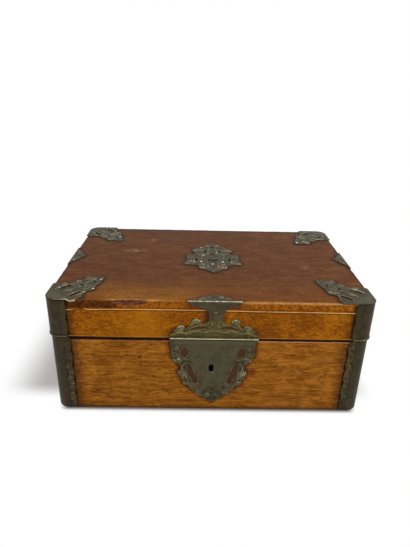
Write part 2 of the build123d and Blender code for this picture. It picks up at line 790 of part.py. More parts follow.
# Staple plate with two eyes, let into the lid's front rail
with BuildPart() as staple_plate:
    with BuildSketch(Plane.XY.offset(body_height)):
        with Locations((lock_x, -lock_hollow_middle)):
            Rectangle(staple_plate_length, staple_plate_width)
    extrude(amount=staple_plate_thickness)
    for place in eye_places:
        with BuildSketch(Plane.YZ.offset(lock_x + place - eye_thickness / 2)):
            with Locations((-lock_hollow_middle, (eye_bottom + body_height) / 2)):
                Rectangle(eye_width, body_height - eye_bottom)
        extrude(amount=eye_thickness)
    eye_corners = staple_plate.edges().filter_by(Axis.X).group_by(Axis.Z)[0]
    chamfer(eye_corners, eye_arris)
    for place in eye_places:
        with BuildSketch(Plane.YZ.offset(lock_x + place - eye_thickness / 2)):
            with Locations((-lock_hollow_middle, finger_bottom + finger_height / 2)):
                Rectangle(eye_hole_width, finger_height + 2 * eye_gap_z)
        extrude(amount=eye_thickness, mode=Mode.SUBTRACT)
save(staple_plate, "staple_plate")

# Hinges
knuckle_length = hinge_length / knuckle_count
notch_width = 2 * (knuckle_radius + knuckle_relief)


def hinge_leaf(middle_x, direction, name):
    """Leaf with its knuckles: the lower leaf has the outer and middle ones, the upper leaf the others."""
    own_first = 0 if direction < 0 else 1
    start_x = middle_x - hinge_length / 2
    leaf_middle = body_height + direction * (hinge_leaf_gap + hinge_leaf_thickness / 2)
    with BuildPart() as leaf:
        with BuildSketch(Plane.YZ.offset(start_x)):
            with Locations((hinge_y - hinge_leaf_width / 2, leaf_middle)):
                Rectangle(hinge_leaf_width, hinge_leaf_thickness)
            with Locations((hinge_y, body_height)):
                Circle(knuckle_radius)
        extrude(amount=hinge_length)
        for number in range(1 - own_first, knuckle_count, 2):
            gap_start = start_x + number * knuckle_length - knuckle_end_gap
            with BuildSketch(Plane.YZ.offset(gap_start)):
                with Locations((hinge_y, body_height)):
                    Rectangle(notch_width, notch_width)
            extrude(amount=knuckle_length + 2 * knuckle_end_gap, mode=Mode.SUBTRACT)
        with BuildSketch(Plane.YZ.offset(start_x)):
            with Locations((hinge_y, body_height)):
                Circle(hinge_pin_radius + hinge_pin_clearance)
        extrude(amount=hinge_length, mode=Mode.SUBTRACT)
    save(leaf, name)


for side, side_name in ((-1, "left"), (1, "right")):
    place = side * hinge_x
    hinge_leaf(place, -1, "lower_hinge_leaf_" + side_name)
    hinge_leaf(place, 1, "upper_hinge_leaf_" + side_name)
    with BuildPart() as hinge_pin:
        with BuildSketch(Plane.YZ.offset(place - hinge_length / 2)):
            with Locations((hinge_y, body_height)):
                Circle(hinge_pin_radius)
        extrude(amount=hinge_length)
    save(hinge_pin, "hinge_pin_" + side_name)
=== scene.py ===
import math

import bmesh
import bpy
import numpy as np
from mathutils import Matrix, Vector, noise
from mathutils.geometry import delaunay_2d_cdt


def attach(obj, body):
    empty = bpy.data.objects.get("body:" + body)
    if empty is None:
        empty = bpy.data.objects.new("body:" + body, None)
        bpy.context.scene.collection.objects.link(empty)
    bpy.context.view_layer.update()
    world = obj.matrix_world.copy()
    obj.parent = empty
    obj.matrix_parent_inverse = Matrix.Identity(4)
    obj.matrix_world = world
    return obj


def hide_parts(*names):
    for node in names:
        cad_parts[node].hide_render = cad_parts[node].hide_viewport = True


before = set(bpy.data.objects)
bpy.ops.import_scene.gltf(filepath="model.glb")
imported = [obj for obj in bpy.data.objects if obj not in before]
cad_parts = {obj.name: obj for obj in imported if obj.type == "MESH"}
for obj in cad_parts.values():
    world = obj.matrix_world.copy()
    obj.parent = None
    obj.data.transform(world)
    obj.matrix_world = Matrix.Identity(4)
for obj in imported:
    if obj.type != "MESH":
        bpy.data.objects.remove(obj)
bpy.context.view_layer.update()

# Sizes of the box in millimetres, as in the part's source
lid_half_x, lid_half_y, lid_radius = 149.0, 101.0, 10.0
body_half_x, body_half_y, body_radius = 148.0, 100.0, 9.0
seam, rail_top, top_level = 82.0, 112.0, 120.0
sheet_thickness = 1.0
mount_half_x, mount_half_y = lid_half_x + sheet_thickness, lid_half_y + sheet_thickness
mount_arm = 20.0
lock_x = 1.2
front_mount_x = 2.4
cartouche_x = 3.2
side_mount_y = 3.0
edge_mount_shift = 0.7
far_off = 80.0  # farther than any distance that shows
quarters = ((-1, -1), (-1, 1), (1, -1), (1, 1))
corners = ((-1, -1, "front_left"), (1, -1, "front_right"), (-1, 1, "back_left"), (1, 1, "back_right"))


# ---- Outlines ----
def arc(start, end, bulge, step=0.6):
    """Points from start up to, not including, end. The middle stands off to the left by the bulge."""
    start, end = np.array(start, float), np.array(end, float)
    way = end - start
    span = np.linalg.norm(way)
    if abs(bulge) < 1e-6:
        count = max(1, round(span / (2 * step)))
        return start + way * np.linspace(0, 1, count, endpoint=False)[:, None]
    centre, radius, first, sweep = circle_of(start, end, bulge)
    count = max(3, round(radius * abs(sweep) / step))
    angles = first + sweep * np.linspace(0, 1, count, endpoint=False)
    return centre + radius * np.stack([np.cos(angles), np.sin(angles)], -1)


def circle_of(start, end, bulge):
    """Centre, radius, first angle and turn of the arc with that bulge."""
    way = np.array(end, float) - np.array(start, float)
    span = np.linalg.norm(way)
    left = np.array([-way[1], way[0]]) / span
    radius = (span**2 / 4 + bulge**2) / (2 * abs(bulge))
    centre = (np.array(start, float) + np.array(end, float)) / 2
    centre = centre + left * (bulge - math.copysign(radius, bulge))
    first = math.atan2(start[1] - centre[1], start[0] - centre[0])
    sweep = -math.copysign(4 * math.atan(2 * abs(bulge) / span), bulge)
    return centre, radius, first, sweep


def run(points, bulges, step=0.6):
    """One open edge through the points."""
    parts = [arc(a, b, k, step) for a, b, k in zip(points[:-1], points[1:], bulges)]
    return np.vstack(parts + [np.array([points[-1]], float)])


def both_sides(points, bulges):
    """Closed edge that is the same on both sides of the middle line."""
    right = run(points, bulges)
    left = right[::-1] * (-1, 1)
    if abs(right[-1][0]) < 1e-6:
        left = left[1:]
    if abs(right[0][0]) < 1e-6:
        left = left[:-1]
    return np.vstack([right, left])


def round_hole(x, y, radius):
    angles = np.linspace(0, 2 * math.pi, max(12, round(radius * 9)), endpoint=False)
    return np.stack([x + radius * np.cos(angles), y + radius * np.sin(angles)], -1)


def slot_hole(x, y, length, width, turn):
    """Slot with round ends."""
    reach, r = (length - width) / 2, width / 2
    angles = np.linspace(-math.pi / 2, math.pi / 2, 9)
    right = np.stack([reach + r * np.cos(angles), r * np.sin(angles)], -1)
    loop = np.vstack([right, -right])
    a = math.radians(turn)
    spin = np.array([[math.cos(a), math.sin(a)], [-math.sin(a), math.cos(a)]])
    return loop @ spin + (x, y)


def leaf_hole(start, end, near, far):
    """Pointed opening between two arcs."""
    return np.vstack([arc(start, end, near, 0.7), arc(end, start, -far, 0.7)])


def mirrored(loop):
    return loop[::-1] * (-1, 1)


def both(paths):
    """The paths and the same on the other side of the middle line."""
    return paths + [path * (-1, 1) for path in paths]


# ---- Distances and relief ----
def path_distance(points, path, closed=False):
    """Distance of each point to a line through the path."""
    starts = path if closed else path[:-1]
    ends = np.roll(path, -1, axis=0) if closed else path[1:]
    way = ends - starts
    length2 = np.maximum((way**2).sum(1), 1e-12)
    best = np.full(len(points), 1e9)
    for first in range(0, len(points), 4000):
        part = points[first : first + 4000]
        off = part[:, None] - starts[None]
        t = np.clip((off * way[None]).sum(2) / length2, 0, 1)
        gap = off - t[..., None] * way[None]
        best[first : first + 4000] = np.sqrt((gap**2).sum(2).min(1))
    return best


def inside(points, loop):
    """Which points lie inside the closed edge."""
    a, b = loop, np.roll(loop, -1, axis=0)
    found = np.zeros(len(points), bool)
    for (ax, ay), (bx, by) in zip(a, b):
        if ay == by:
            continue
        crosses = (ay > points[:, 1]) != (by > points[:, 1])
        found ^= crosses & (points[:, 0] < ax + (points[:, 1] - ay) * (bx - ax) / (by - ay))
    return found


def within(points, loops):
    """Which points lie inside the first closed edge and outside the others."""
    keep = inside(points, loops[0])
    for hole in loops[1:]:
        keep &= ~inside(points, hole)
    return keep


def fractal(points, scale, seed, octaves=3):
    """Smooth noise of about -1 to 1 at the points, with one wave in about scale millimetres."""
    out = np.empty(len(points))
    for i, p in enumerate(points):
        spot = Vector((p[0] / scale + seed * 7.3, p[1] / scale - seed * 3.1, seed * 1.7))
        out[i] = noise.fractal(spot, 0.9, 2.0, octaves)
    return out


def curl(centre, radius, first, turns):
    """Spiral that winds in from the radius to a quarter of it."""
    t = np.linspace(0, 1, 26)
    r = radius * (1 - 0.75 * t)
    a = first + turns * 2 * math.pi * t
    return np.stack([centre[0] + r * np.cos(a), centre[1] + r * np.sin(a)], -1)


def lobe_curls(points, bulges, least=0.7):
    """A curl inside each round lobe of an edge."""
    found = []
    for a, b, k in zip(points[:-1], points[1:], bulges):
        if k >= least:
            centre, radius, first, sweep = circle_of(a, b, k)
            if 1.4 < radius < 9:
                size, middle = min(radius, 4.2), first + sweep / 2
                near = centre + np.array([math.cos(middle), math.sin(middle)]) * (radius - size)
                found.append(curl(near, size * 0.68, first, math.copysign(1.15, sweep)))
    return found


def raised(points, paths, width):
    """1 on the crest of the paths, falling to 0 at the width."""
    crest = np.zeros(len(points))
    for path in paths:
        crest = np.maximum(crest, 1 - (path_distance(points, path) / width) ** 2)
    return np.clip(crest, 0, 1)


# ---- Meshes ----
def place_in_scene(name, data):
    made = bpy.data.objects.new(name, data)
    bpy.context.scene.collection.objects.link(made)
    return made


def make_object(name, vertices, faces, values, sharp=38):
    """Object from millimetres, with the named values kept at its points for the materials."""
    mesh = bpy.data.meshes.new(name)
    mesh.from_pydata((np.asarray(vertices) / 1000).tolist(), [], faces)
    mesh.validate()
    for title, numbers in values.items():
        mesh.attributes.new(title, "FLOAT", "POINT").data.foreach_set("value", np.asarray(numbers, float))
    mesh.polygons.foreach_set("use_smooth", [True] * len(mesh.polygons))
    work = bmesh.new()
    work.from_mesh(mesh)
    bmesh.ops.recalc_face_normals(work, faces=work.faces)
    work.to_mesh(mesh)
    work.free()
    mesh.set_sharp_from_angle(angle=math.radians(sharp))
    return place_in_scene(name, mesh)


def smoothstep(value, low, high):
    t = np.clip((value - low) / (high - low), 0, 1)
    return t * t * (3 - 2 * t)


def bell(value, middle, width):
    """1 at the middle, falling off like a bell."""
    return np.exp(-(((value - middle) / width) ** 2))


def half_round(share):
    """Height of a quarter round edge, 0 to 1, for shares of its width."""
    return np.sqrt(np.clip(1 - (1 - np.clip(share, 0, 1)) ** 2, 0, 1))


def engraving(relief, field, under):
    """Values of a sheet's upper side, and plain ones for the points under it."""
    return {"relief": np.concatenate([relief.ravel(), np.full(under, 0.3)]),
            "field": np.concatenate([field.ravel(), np.zeros(under)])}


def triangles(loops, extra=()):
    """Triangles of the area between the first edge and the others, with extra points inside it."""
    points, edges, first = [], [], 0
    for loop in loops:
        points += [Vector(p) for p in loop.tolist()]
        edges += [(first + i, first + (i + 1) % len(loop)) for i in range(len(loop))]
        first += len(loop)
    points += [Vector(p) for p in extra]
    found, _, faces, origin, _, _ = delaunay_2d_cdt(points, edges, [], 0, 1e-6, True)
    flat = np.array([tuple(v) for v in found])
    faces = np.array([tuple(f) for f in faces])
    place_of = {old: new for new, olds in enumerate(origin) for old in olds}
    return flat, faces[within(flat[faces].mean(1), loops)], place_of


def sheet(name, outer, holes, height, place, pitch=0.55, rim=0.6):
    """Pierced sheet: height(points, edge distance, hole distance) gives its rise, relief and engraving."""
    loops = [outer] + holes
    low, high = outer.min(0), outer.max(0)
    rows = []
    for row, y in enumerate(np.arange(low[1], high[1], pitch * 0.87)):
        xs = np.arange(low[0] + (row % 2) * pitch / 2, high[0], pitch)
        rows.append(np.stack([xs, np.full(len(xs), y)], -1))
    grid = np.vstack(rows)
    rings = []
    for loop in loops:
        ahead = np.roll(loop, -1, axis=0) - np.roll(loop, 1, axis=0)
        normal = np.stack([-ahead[:, 1], ahead[:, 0]], -1)
        normal /= np.maximum(np.linalg.norm(normal, axis=1), 1e-9)[:, None]
        for off in (rim * 0.35, rim):
            rings += [(loop + side * normal * off, off) for side in (-1, 1)]

    def clear(points, least):
        points = points[within(points, loops)]
        gap = np.min([path_distance(points, loop, True) for loop in loops], axis=0)
        return points[gap > least]

    extra = [clear(points, off * 0.9) for points, off in rings]
    extra = np.vstack(extra + [clear(grid, rim * 1.35)])
    flat, faces, place_of = triangles(loops, extra.tolist())
    edge = path_distance(flat, outer, True)
    hole = np.full(len(flat), far_off)
    for loop in holes:
        hole = np.minimum(hole, path_distance(flat, loop, True))
    rise, relief, field = height(flat, edge, hole)
    fall = half_round(np.minimum(edge, hole) / rim)
    top = place(flat[:, 0], flat[:, 1], rise * (0.35 + 0.65 * fall))
    bottom_flat, bottom_faces, bottom_place = triangles(loops)
    under = place(bottom_flat[:, 0], bottom_flat[:, 1], np.zeros(len(bottom_flat)))
    base = len(flat)
    all_faces = faces.tolist() + (bottom_faces[:, ::-1] + base).tolist()
    first = 0
    for loop in loops:
        for i in range(len(loop)):
            a, b = first + i, first + (i + 1) % len(loop)
            all_faces.append((place_of[a], place_of[b], base + bottom_place[b], base + bottom_place[a]))
        first += len(loop)
    return make_object(name, np.vstack([top, under]), all_faces, engraving(relief, field, len(under)))


# ---- Node helpers ----
def srgb(red, green, blue):
    """A colour as it looks on a screen, 0 to 255, in the numbers that shaders use."""
    def one(value):
        value /= 255
        return value / 12.92 if value <= 0.04045 else ((value + 0.055) / 1.055) ** 2.4

    return (one(red), one(green), one(blue), 1.0)


class Nodes:
    """Short ways to add and join nodes of one tree."""

    def __init__(self, tree):
        self.tree = tree

    def add(self, kind, settings=None, **values):
        made = self.tree.nodes.new("ShaderNode" + kind)
        for key, value in (settings or {}).items():
            setattr(made, key, value)
        for key, value in values.items():
            self.feed(made.inputs[key.replace("_", " ")], value)
        return made

    def feed(self, socket, value):
        """Link another node, or set a number, or a colour as (red, green, blue) from 0 to 255."""
        if isinstance(value, bpy.types.NodeSocket):
            self.tree.links.new(value, socket)
        elif socket.type == "RGBA" and len(value) == 3:
            socket.default_value = srgb(*value)
        else:
            socket.default_value = value

    def maths(self, operation, *values):
        made = self.add("Math", {"operation": operation})
        for socket, value in zip(made.inputs, values):
            self.feed(socket, value)
        return made.outputs[0]

    def chain(self, operation, values):
        result = values[0]
        for value in values[1:]:
            result = self.maths(operation, result, value)
        return result

    def times(self, *values):
        return self.chain("MULTIPLY", values)

    def plus(self, *values):
        return self.chain("ADD", values)

    def largest(self, *values):
        return self.chain("MAXIMUM", values)

    def minus(self, first, second):
        return self.maths("SUBTRACT", first, second)

    def times_plus(self, first, second, third):
        return self.maths("MULTIPLY_ADD", first, second, third)

    def size(self, value):
        return self.maths("ABSOLUTE", value)

    def apart(self, first, second):
        return self.size(self.minus(first, second))

    def between(self, value, low, high, to_low=0.0, to_high=1.0, curve="SMOOTHSTEP"):
        """to_low where the value is at low, to_high where it is at high, held past both."""
        made = self.add("MapRange", {"interpolation_type": curve})
        for socket, item in zip(made.inputs, (value, low, high, to_low, to_high)):
            self.feed(socket, item)
        return made.outputs[0]

    def blend(self, share, first, second):
        made = self.add("Mix", {"data_type": "RGBA"})
        for number, value in ((0, share), (6, first), (7, second)):
            self.feed(made.inputs[number], value)
        return made.outputs[2]

    def cloud(self, vector, scale, detail=3.0, rough=0.5, warp=0.0):
        made = self.add("TexNoise", Vector=vector, Scale=scale, Detail=detail, Roughness=rough,
                        Distortion=warp)
        return made.outputs["Fac"]

    def vector(self, operation, *values):
        made = self.add("VectorMath", {"operation": operation})
        for socket, value in zip(made.inputs, values):
            self.feed(socket, value)
        return made.outputs[0]

    def scaled(self, vector, x, y, z):
        return self.vector("MULTIPLY", vector, (x, y, z))


def new_group(name, inputs, outputs):
    """Node group with inputs given as (name, kind, default) and outputs that are all numbers."""
    tree = bpy.data.node_groups.new(name, "ShaderNodeTree")
    for title, kind, default in inputs:
        socket = tree.interface.new_socket(title, in_out="INPUT", socket_type="NodeSocket" + kind)
        if default is not None:
            socket.default_value = default
    for title in outputs:
        tree.interface.new_socket(title, in_out="OUTPUT", socket_type="NodeSocketFloat")
    start = tree.nodes.new("NodeGroupInput")
    end = tree.nodes.new("NodeGroupOutput")
    return Nodes(tree), start.outputs, end.inputs


def white_rays(n):
    """1 for the rays that should meet plain white: from the camera, mirrored or sent through."""
    rays = n.add("LightPath").outputs
    return n.largest(rays["Is Camera Ray"], rays["Is Glossy Ray"], rays["Is Transmission Ray"])


def new_material(name):
    """A material with its shader and the object's own millimetres."""
    material = bpy.data.materials.new(name)
    material.use_nodes = True
    nodes = Nodes(material.node_tree)
    shader = material.node_tree.nodes["Principled BSDF"]
    spot = nodes.scaled(nodes.add("TexCoord").outputs["Object"], 1000, 1000, 1000)
    return material, nodes, shader, spot


# ---- Shared effects ----
def wood_figure_group():
    """Grain, pores, clouding and fine cracks of an old waxed board. The spot is in millimetres."""
    n, given, out = new_group(
        "wood figure",
        [("Spot", "Vector", None), ("Stretch", "Vector", (0.05, 1.0, 1.0)), ("Seed", "Float", 0.0)],
        ("Grain", "Lines", "Pores", "Cloud", "Cracks", "Height"),
    )
    shift = n.add("CombineXYZ", X=given["Seed"], Y=given["Seed"], Z=given["Seed"]).outputs[0]
    spot = n.vector("ADD", given["Spot"], shift)
    long = n.vector("MULTIPLY", spot, given["Stretch"])
    sway = n.add("TexNoise", Vector=n.scaled(spot, 0.03, 0.06, 0.06), Scale=1.0, Detail=2.0).outputs["Color"]
    bent = n.vector("MULTIPLY_ADD", sway, (0.6, 7.0, 7.0), long)
    lines = n.cloud(bent, 0.55, 4.0, 0.6, 0.4)
    fine = n.cloud(bent, 1.6, 2.0, 0.6)
    n.feed(out["Grain"], n.times_plus(fine, 0.4, n.times(lines, 0.6)))
    rounder = n.vector("ADD", n.scaled(given["Stretch"], 0.85, 0.85, 0.85), (0.15, 0.15, 0.15))
    wide = n.vector("MULTIPLY", spot, rounder)
    rings = n.times(n.cloud(wide, 0.055, 2.0, 0.45, 0.5), 17.0)
    ridge = n.between(n.maths("PINGPONG", rings, 0.5), 0.0, 0.11, 1.0, 0.0)
    worn_through = n.between(n.cloud(wide, 0.16, 2.0), 0.38, 0.56)
    n.feed(out["Lines"], n.times(ridge, worn_through))
    short = n.vector("MULTIPLY", n.vector("MULTIPLY_ADD", sway, (0.6, 7.0, 7.0), spot), given["Stretch"])
    pores = n.between(n.cloud(n.scaled(short, 2.2, 2.2, 2.2), 1.0, 1.0, 0.4), 0.63, 0.7)
    n.feed(out["Pores"], pores)
    n.feed(out["Cloud"], n.cloud(spot, 0.04, 4.0, 0.6, 0.8))
    cells = n.add("TexVoronoi", {"feature": "DISTANCE_TO_EDGE"}, Scale=0.055, Randomness=1.0)
    warp = n.add("TexNoise", Vector=spot, Scale=0.05, Detail=3.0).outputs["Color"]
    n.feed(cells.inputs["Vector"], n.vector("MULTIPLY_ADD", warp, (34, 34, 34), spot))
    broken = n.between(n.cloud(spot, 0.07, 2.0), 0.42, 0.58)
    n.feed(out["Cracks"], n.times(n.between(cells.outputs["Distance"], 0.004, 0.022, 1.0, 0.0), broken))
    n.feed(out["Height"], n.times_plus(pores, -0.5, lines))
    return n.tree


def aged_metal_group():
    """Chasing, dirt in the hollows, worn crests, bare folds with painted glints, and tarnish. The spot is in
    millimetres.
    """
    n, given, out = new_group(
        "aged metal",
        [("Spot", "Vector", None), ("Relief", "Float", 0.5), ("Field", "Float", 0.0)],
        ("Dirt", "Worn", "Bare and glint", "Tarnish", "Height"),
    )
    spot = given["Spot"]

    def scroll_lines(scale, width):
        line = n.cloud(spot, scale, 1.0, 0.4, 1.4)
        return n.between(n.apart(line, 0.5), 0.0, width, 1.0, 0.0)

    cut = n.largest(scroll_lines(0.36, 0.07), n.times(scroll_lines(0.8, 0.06), 0.75))
    cut = n.times(cut, given["Field"])
    rough = n.cloud(spot, 0.9, 4.0, 0.65)
    broad = n.cloud(spot, 0.1, 3.0, 0.6)
    fine = n.cloud(spot, 2.2, 2.0, 0.6)
    level = n.times_plus(cut, 0.42, given["Relief"])
    level = n.plus(level, n.times_plus(rough, 0.5, -0.25))
    level = n.times_plus(given["Field"], -0.12, level)
    n.feed(out["Dirt"], n.between(level, 0.12, 0.46, 1.0, 0.0))
    n.feed(out["Worn"], n.times(n.between(level, 0.58, 0.88), n.between(broad, 0.35, 0.58, 0.45, 1.0)))
    n.feed(out["Bare and glint"], n.between(level, 1.02, 1.3))
    n.feed(out["Tarnish"], n.times_plus(fine, 0.35, n.times(broad, 0.65)))
    n.feed(out["Height"], n.times_plus(cut, 0.9, n.times_plus(rough, 0.5,
                                                                   n.times(fine, 0.2))))
    return n.tree


wood_figure = wood_figure_group()
aged_metal = aged_metal_group()
grain_depth, chasing_depth = 0.0004, 0.00025


def wood(name, light, middle, dark, pore, stretch, seed, cracks=0.0, lines=0.5, gloss=0.5, extra=None,
         shine=0.05):
    """Waxed wood. extra(nodes, spot, colour) can darken or bleach places of this board."""
    material, n, shader, spot = new_material(name)
    figure = n.add("Group", {"node_tree": wood_figure}, Spot=spot, Stretch=stretch, Seed=seed).outputs
    colour = n.blend(n.between(figure["Grain"], 0.4, 0.56), dark, middle)
    colour = n.blend(n.times(n.between(figure["Grain"], 0.5, 0.62), 0.6), colour, light)
    colour = n.blend(n.times(n.between(figure["Cloud"], 0.5, 0.66), 0.45), colour, light)
    colour = n.blend(n.times(n.between(figure["Cloud"], 0.48, 0.34), 0.4), colour, dark)
    colour = n.blend(n.times(figure["Lines"], lines), colour, pore)
    colour = n.blend(n.times(figure["Pores"], 0.7), colour, pore)
    crack = n.times(figure["Cracks"], cracks(n, spot) if callable(cracks) else cracks)
    colour = n.blend(crack, colour, pore)
    if extra:
        colour = extra(n, spot, colour)
    n.feed(shader.inputs["Base Color"], colour)
    n.feed(shader.inputs["Roughness"], n.between(figure["Grain"], 0.2, 0.8, gloss + 0.12, gloss - 0.06))
    shader.inputs["Specular IOR Level"].default_value = shine
    lifted = n.times_plus(crack, -1.2, figure["Height"])
    bump = n.add("Bump", Strength=0.3, Distance=grain_depth, Height=lifted)
    n.feed(shader.inputs["Normal"], bump.outputs[0])
    return material


def attribute(n, name):
    return n.add("Attribute", {"attribute_name": name}).outputs["Fac"]


def axes(n, spot):
    parts = n.add("SeparateXYZ", Vector=spot).outputs
    return parts["X"], parts["Y"], parts["Z"]


def plate_edge(n, across, along, centre, low, high, widths):
    """How far a spot lies outside a plate that is even about its middle: widths are (place, half width)."""
    curve = n.add("FloatCurve")
    points = curve.mapping.curves[0].points
    largest = max(w for _, w in widths)
    for i, (place, width) in enumerate(widths):
        x, y = (place - low) / (high - low), max(0.0, width / largest)
        if i < 2:
            points[i].location = (x, y)
        else:
            points.new(x, y)
    for point in points:
        point.handle_type = "VECTOR"
    curve.mapping.update()
    n.feed(curve.inputs["Value"], n.between(along, low, high, curve="LINEAR"))
    half = n.times(curve.outputs[0], largest)
    return n.minus(n.apart(across, centre), half)


def grimy(n, spot, colour, distance, reach, grime, strength=0.85):
    """Colour with dark dirt that fades with the distance from a mount."""
    broken = n.times_plus(n.cloud(spot, 0.3, 3.0, 0.6), reach * 1.3, -reach * 0.65)
    share = n.between(n.plus(distance, broken), 0.0, reach, strength, 0.0)
    return n.blend(share, colour, grime)


def band(n, value, low, high):
    """1 between the two levels, with soft ends."""
    soft = 0.35
    return n.times(n.between(value, low - soft, low + soft),
                   n.between(value, high - soft, high + soft, 1.0, 0.0))


escutcheon_widths = ((0, 0.0), (8.6, 0.0), (14, 9.0), (22, 18.5), (29, 27.0), (34, 29.0), (45, 33.4),
                     (50, 31.5), (54, 34.5), (60, 38.5), (67, 39.6), (82, 41.0))
lock_mount_widths = ((82, 41.0), (88, 38.5), (92, 35.5), (96, 30.0), (99, 23.0), (103, 17.0), (107, 7.0),
                     (112, 7.0))
grime = (66, 32, 14)
deep_grime_and_shade = (18, 4, 1)


def outer_only(n, distance, outward, level):
    """Push the distance up on faces that aren't the outer one."""
    return n.plus(distance, n.between(outward, level, level - 2, 0.0, far_off))


def seam_dirt_and_shade(n, spot, colour, x, z, outward, level):
    """Near-black dirt and painted shade under the seam, wider on the left, with a pale line below it."""
    top = n.plus(n.between(x, -112, -104, 0.0, 0.9), n.between(x, -50, 20, 0.0, -0.3))
    depth = n.between(x, -60, 30, 3.7, 2.7)
    fray = n.times_plus(n.cloud(spot, 0.12, 3.0, 0.6), 1.4, -0.7)
    below = n.plus(n.minus(seam, z), fray)
    past = n.minus(below, depth)
    worn = n.times(band(n, past, 0.2, 1.2), n.between(x, -60, 30, 0.2, 0.55))
    colour = n.blend(worn, colour, (190, 138, 96))
    # Painted shade: the near-black band stands for the shadow in the seam under the lid's edge, with some
    # dirt.
    share = n.times(n.between(past, -0.35, 0.35, 0.97, 0.0),
                    n.between(n.minus(below, top), -0.5, 0.3, 0.35, 1.0))
    return n.blend(n.times(share, n.between(outward, level - 2, level)), colour, deep_grime_and_shade)


def body_front_places(n, spot, colour):
    x, y, z = axes(n, spot)
    outward = n.size(y)
    blotch = n.between(n.cloud(spot, 0.09, 4.0, 0.6, 0.6), 0.55, 0.7)
    blotch = n.times(blotch, n.between(x, 20, 70, 0.15, 0.6))
    colour = n.blend(blotch, colour, (170, 108, 34))
    plate = plate_edge(n, x, z, front_mount_x, 0.0, seam, escutcheon_widths)
    plate = n.plus(plate, n.between(y, -98, -90, 0.0, far_off))
    plate = n.plus(plate, n.between(z, 4.5, 7.5, 6.0, 0.0))
    colour = grimy(n, spot, colour, plate, 6.0, (86, 44, 14), 0.8)
    colour = grimy(n, spot, colour, plate, 2.2, grime, 0.8)
    colour = n.blend(n.between(plate, -1.0, -3.0, 0.0, 0.75), colour, (74, 48, 32))
    stain = n.plus(n.apart(x, 41.0),
                    n.times(n.apart(z, 45.0), 0.6))
    stain = n.plus(stain, n.between(y, -98, -90, 0.0, far_off))
    colour = n.blend(n.between(stain, 1.0, 6.0, 0.6, 0.0), colour, (92, 34, 22))
    # Painted shade: the wood seen through the keyhole is near-black, as the dark inside of the hole.
    off_key = n.largest(n.apart(x, lock_x),
                      n.minus(n.apart(z, 49.0), 2.2))
    off_key = n.plus(off_key, n.between(y, -89, -87, 0.0, far_off))
    colour = n.blend(n.between(off_key, 2.6, 3.2, 1.0, 0.0), colour, (4, 3, 2))
    arm = outer_only(n, n.minus(129.5, n.size(x)), outward, 100)
    colour = grimy(n, spot, colour, arm, 13.0, grime, 0.75)
    colour = grimy(n, spot, colour, arm, 2.4, deep_grime_and_shade, 0.9)
    colour = grimy(n, spot, colour, z, 5.0, (74, 46, 22), 0.85)
    return seam_dirt_and_shade(n, spot, colour, x, z, outward, 99.6)


def body_side_places(n, spot, colour):
    x, y, z = axes(n, spot)
    outward = n.size(x)
    arm = outer_only(n, n.minus(81.5, n.size(y)), outward, 148)
    colour = grimy(n, spot, colour, arm, 9.0, grime, 0.6)
    colour = grimy(n, spot, colour, arm, 2.4, deep_grime_and_shade, 0.7)
    colour = grimy(n, spot, colour, z, 4.0, (72, 46, 26), 0.7)
    return seam_dirt_and_shade(n, spot, colour, y, z, outward, 147.6)


def joint_line(n, spot, colour, along, z, outward, level):
    """Thin pale line just under the top board, broken at one place and hooked where it starts again."""
    drift = n.plus(n.between(along, -130, -60, 1.2, 0.0), n.between(along, 0, 60, 0.0, 0.6))
    drift = n.plus(drift, n.between(along, 80, 130, 0.0, 0.3))
    wander = n.times_plus(n.cloud(spot, 0.05, 2.0), 0.4, -0.2)
    height = n.plus(z, drift, wander,
                     n.times(n.between(along, -115.5, -111, -2.4, 0.0), n.between(along, -121, -120)))
    line = n.between(n.apart(height, 111.15), 0.12, 0.45, 1.0, 0.0)
    gap = n.times(n.between(along, -125, -124), n.between(along, -114.5, -113.5, 1.0, 0.0))
    faded = n.between(n.cloud(spot, 0.09, 3.0), 0.3, 0.6, 0.45, 0.95)
    line = n.times(line, n.minus(1.0, gap), faded)
    below = n.between(n.apart(height, 110.1), 0.2, 0.8, 0.75, 0.0)
    colour = n.blend(below, colour, (66, 30, 4))
    return n.blend(n.times(line, n.between(outward, level - 2, level)), colour, (226, 184, 128))


def lid_front_places(n, spot, colour):
    x, y, z = axes(n, spot)
    outward = n.size(y)
    mottle = n.between(n.cloud(spot, 0.55, 3.0, 0.7), 0.52, 0.64)
    colour = n.blend(n.times(mottle, 0.5), colour, (94, 46, 2))
    fleck = n.between(n.cloud(n.scaled(spot, 0.7, 1.0, 0.5), 1.3, 2.0, 0.5), 0.6, 0.68)
    colour = n.blend(n.times(fleck, 0.65), colour, (66, 30, 2))
    glow = n.times(n.between(x, -100, -60), n.between(x, -30, -58))
    colour = n.blend(n.times(glow, 0.35), colour, (186, 116, 14))
    shade = n.times(n.between(x, 16, 34), n.between(x, 84, 50))
    colour = n.blend(n.times(shade, 0.22), colour, (104, 52, 6))
    plate = plate_edge(n, x, z, front_mount_x, seam, rail_top, lock_mount_widths)
    column = n.minus(n.apart(x, front_mount_x), 7.0)
    off_column = n.minus(column, plate)
    plate = n.plus(plate, n.times(off_column, n.between(z, 94.5, 97.5)))
    plate = n.plus(plate, n.between(y, -99, -91, 0.0, far_off))
    colour = grimy(n, spot, colour, plate, 9.0, (84, 40, 8), 0.7)
    colour = grimy(n, spot, colour, plate, 2.6, grime, 0.8)
    arm = outer_only(n, n.minus(130.5, n.size(x)), outward, 101)
    colour = grimy(n, spot, colour, arm, 12.0, (70, 32, 4), 0.8)
    colour = grimy(n, spot, colour, arm, 2.6, deep_grime_and_shade, 0.95)
    # Painted highlight: a lighter band along the lid's lower arris, where it catches the light.
    lift = band(n, z, 82.0, 83.2)
    colour = n.blend(n.between(plate, -1.0, -3.0, 0.0, 0.7), colour, (84, 48, 34))
    colour = n.blend(n.times(lift, 0.5), colour, (188, 128, 58))
    return joint_line(n, spot, colour, x, z, outward, 100.9)


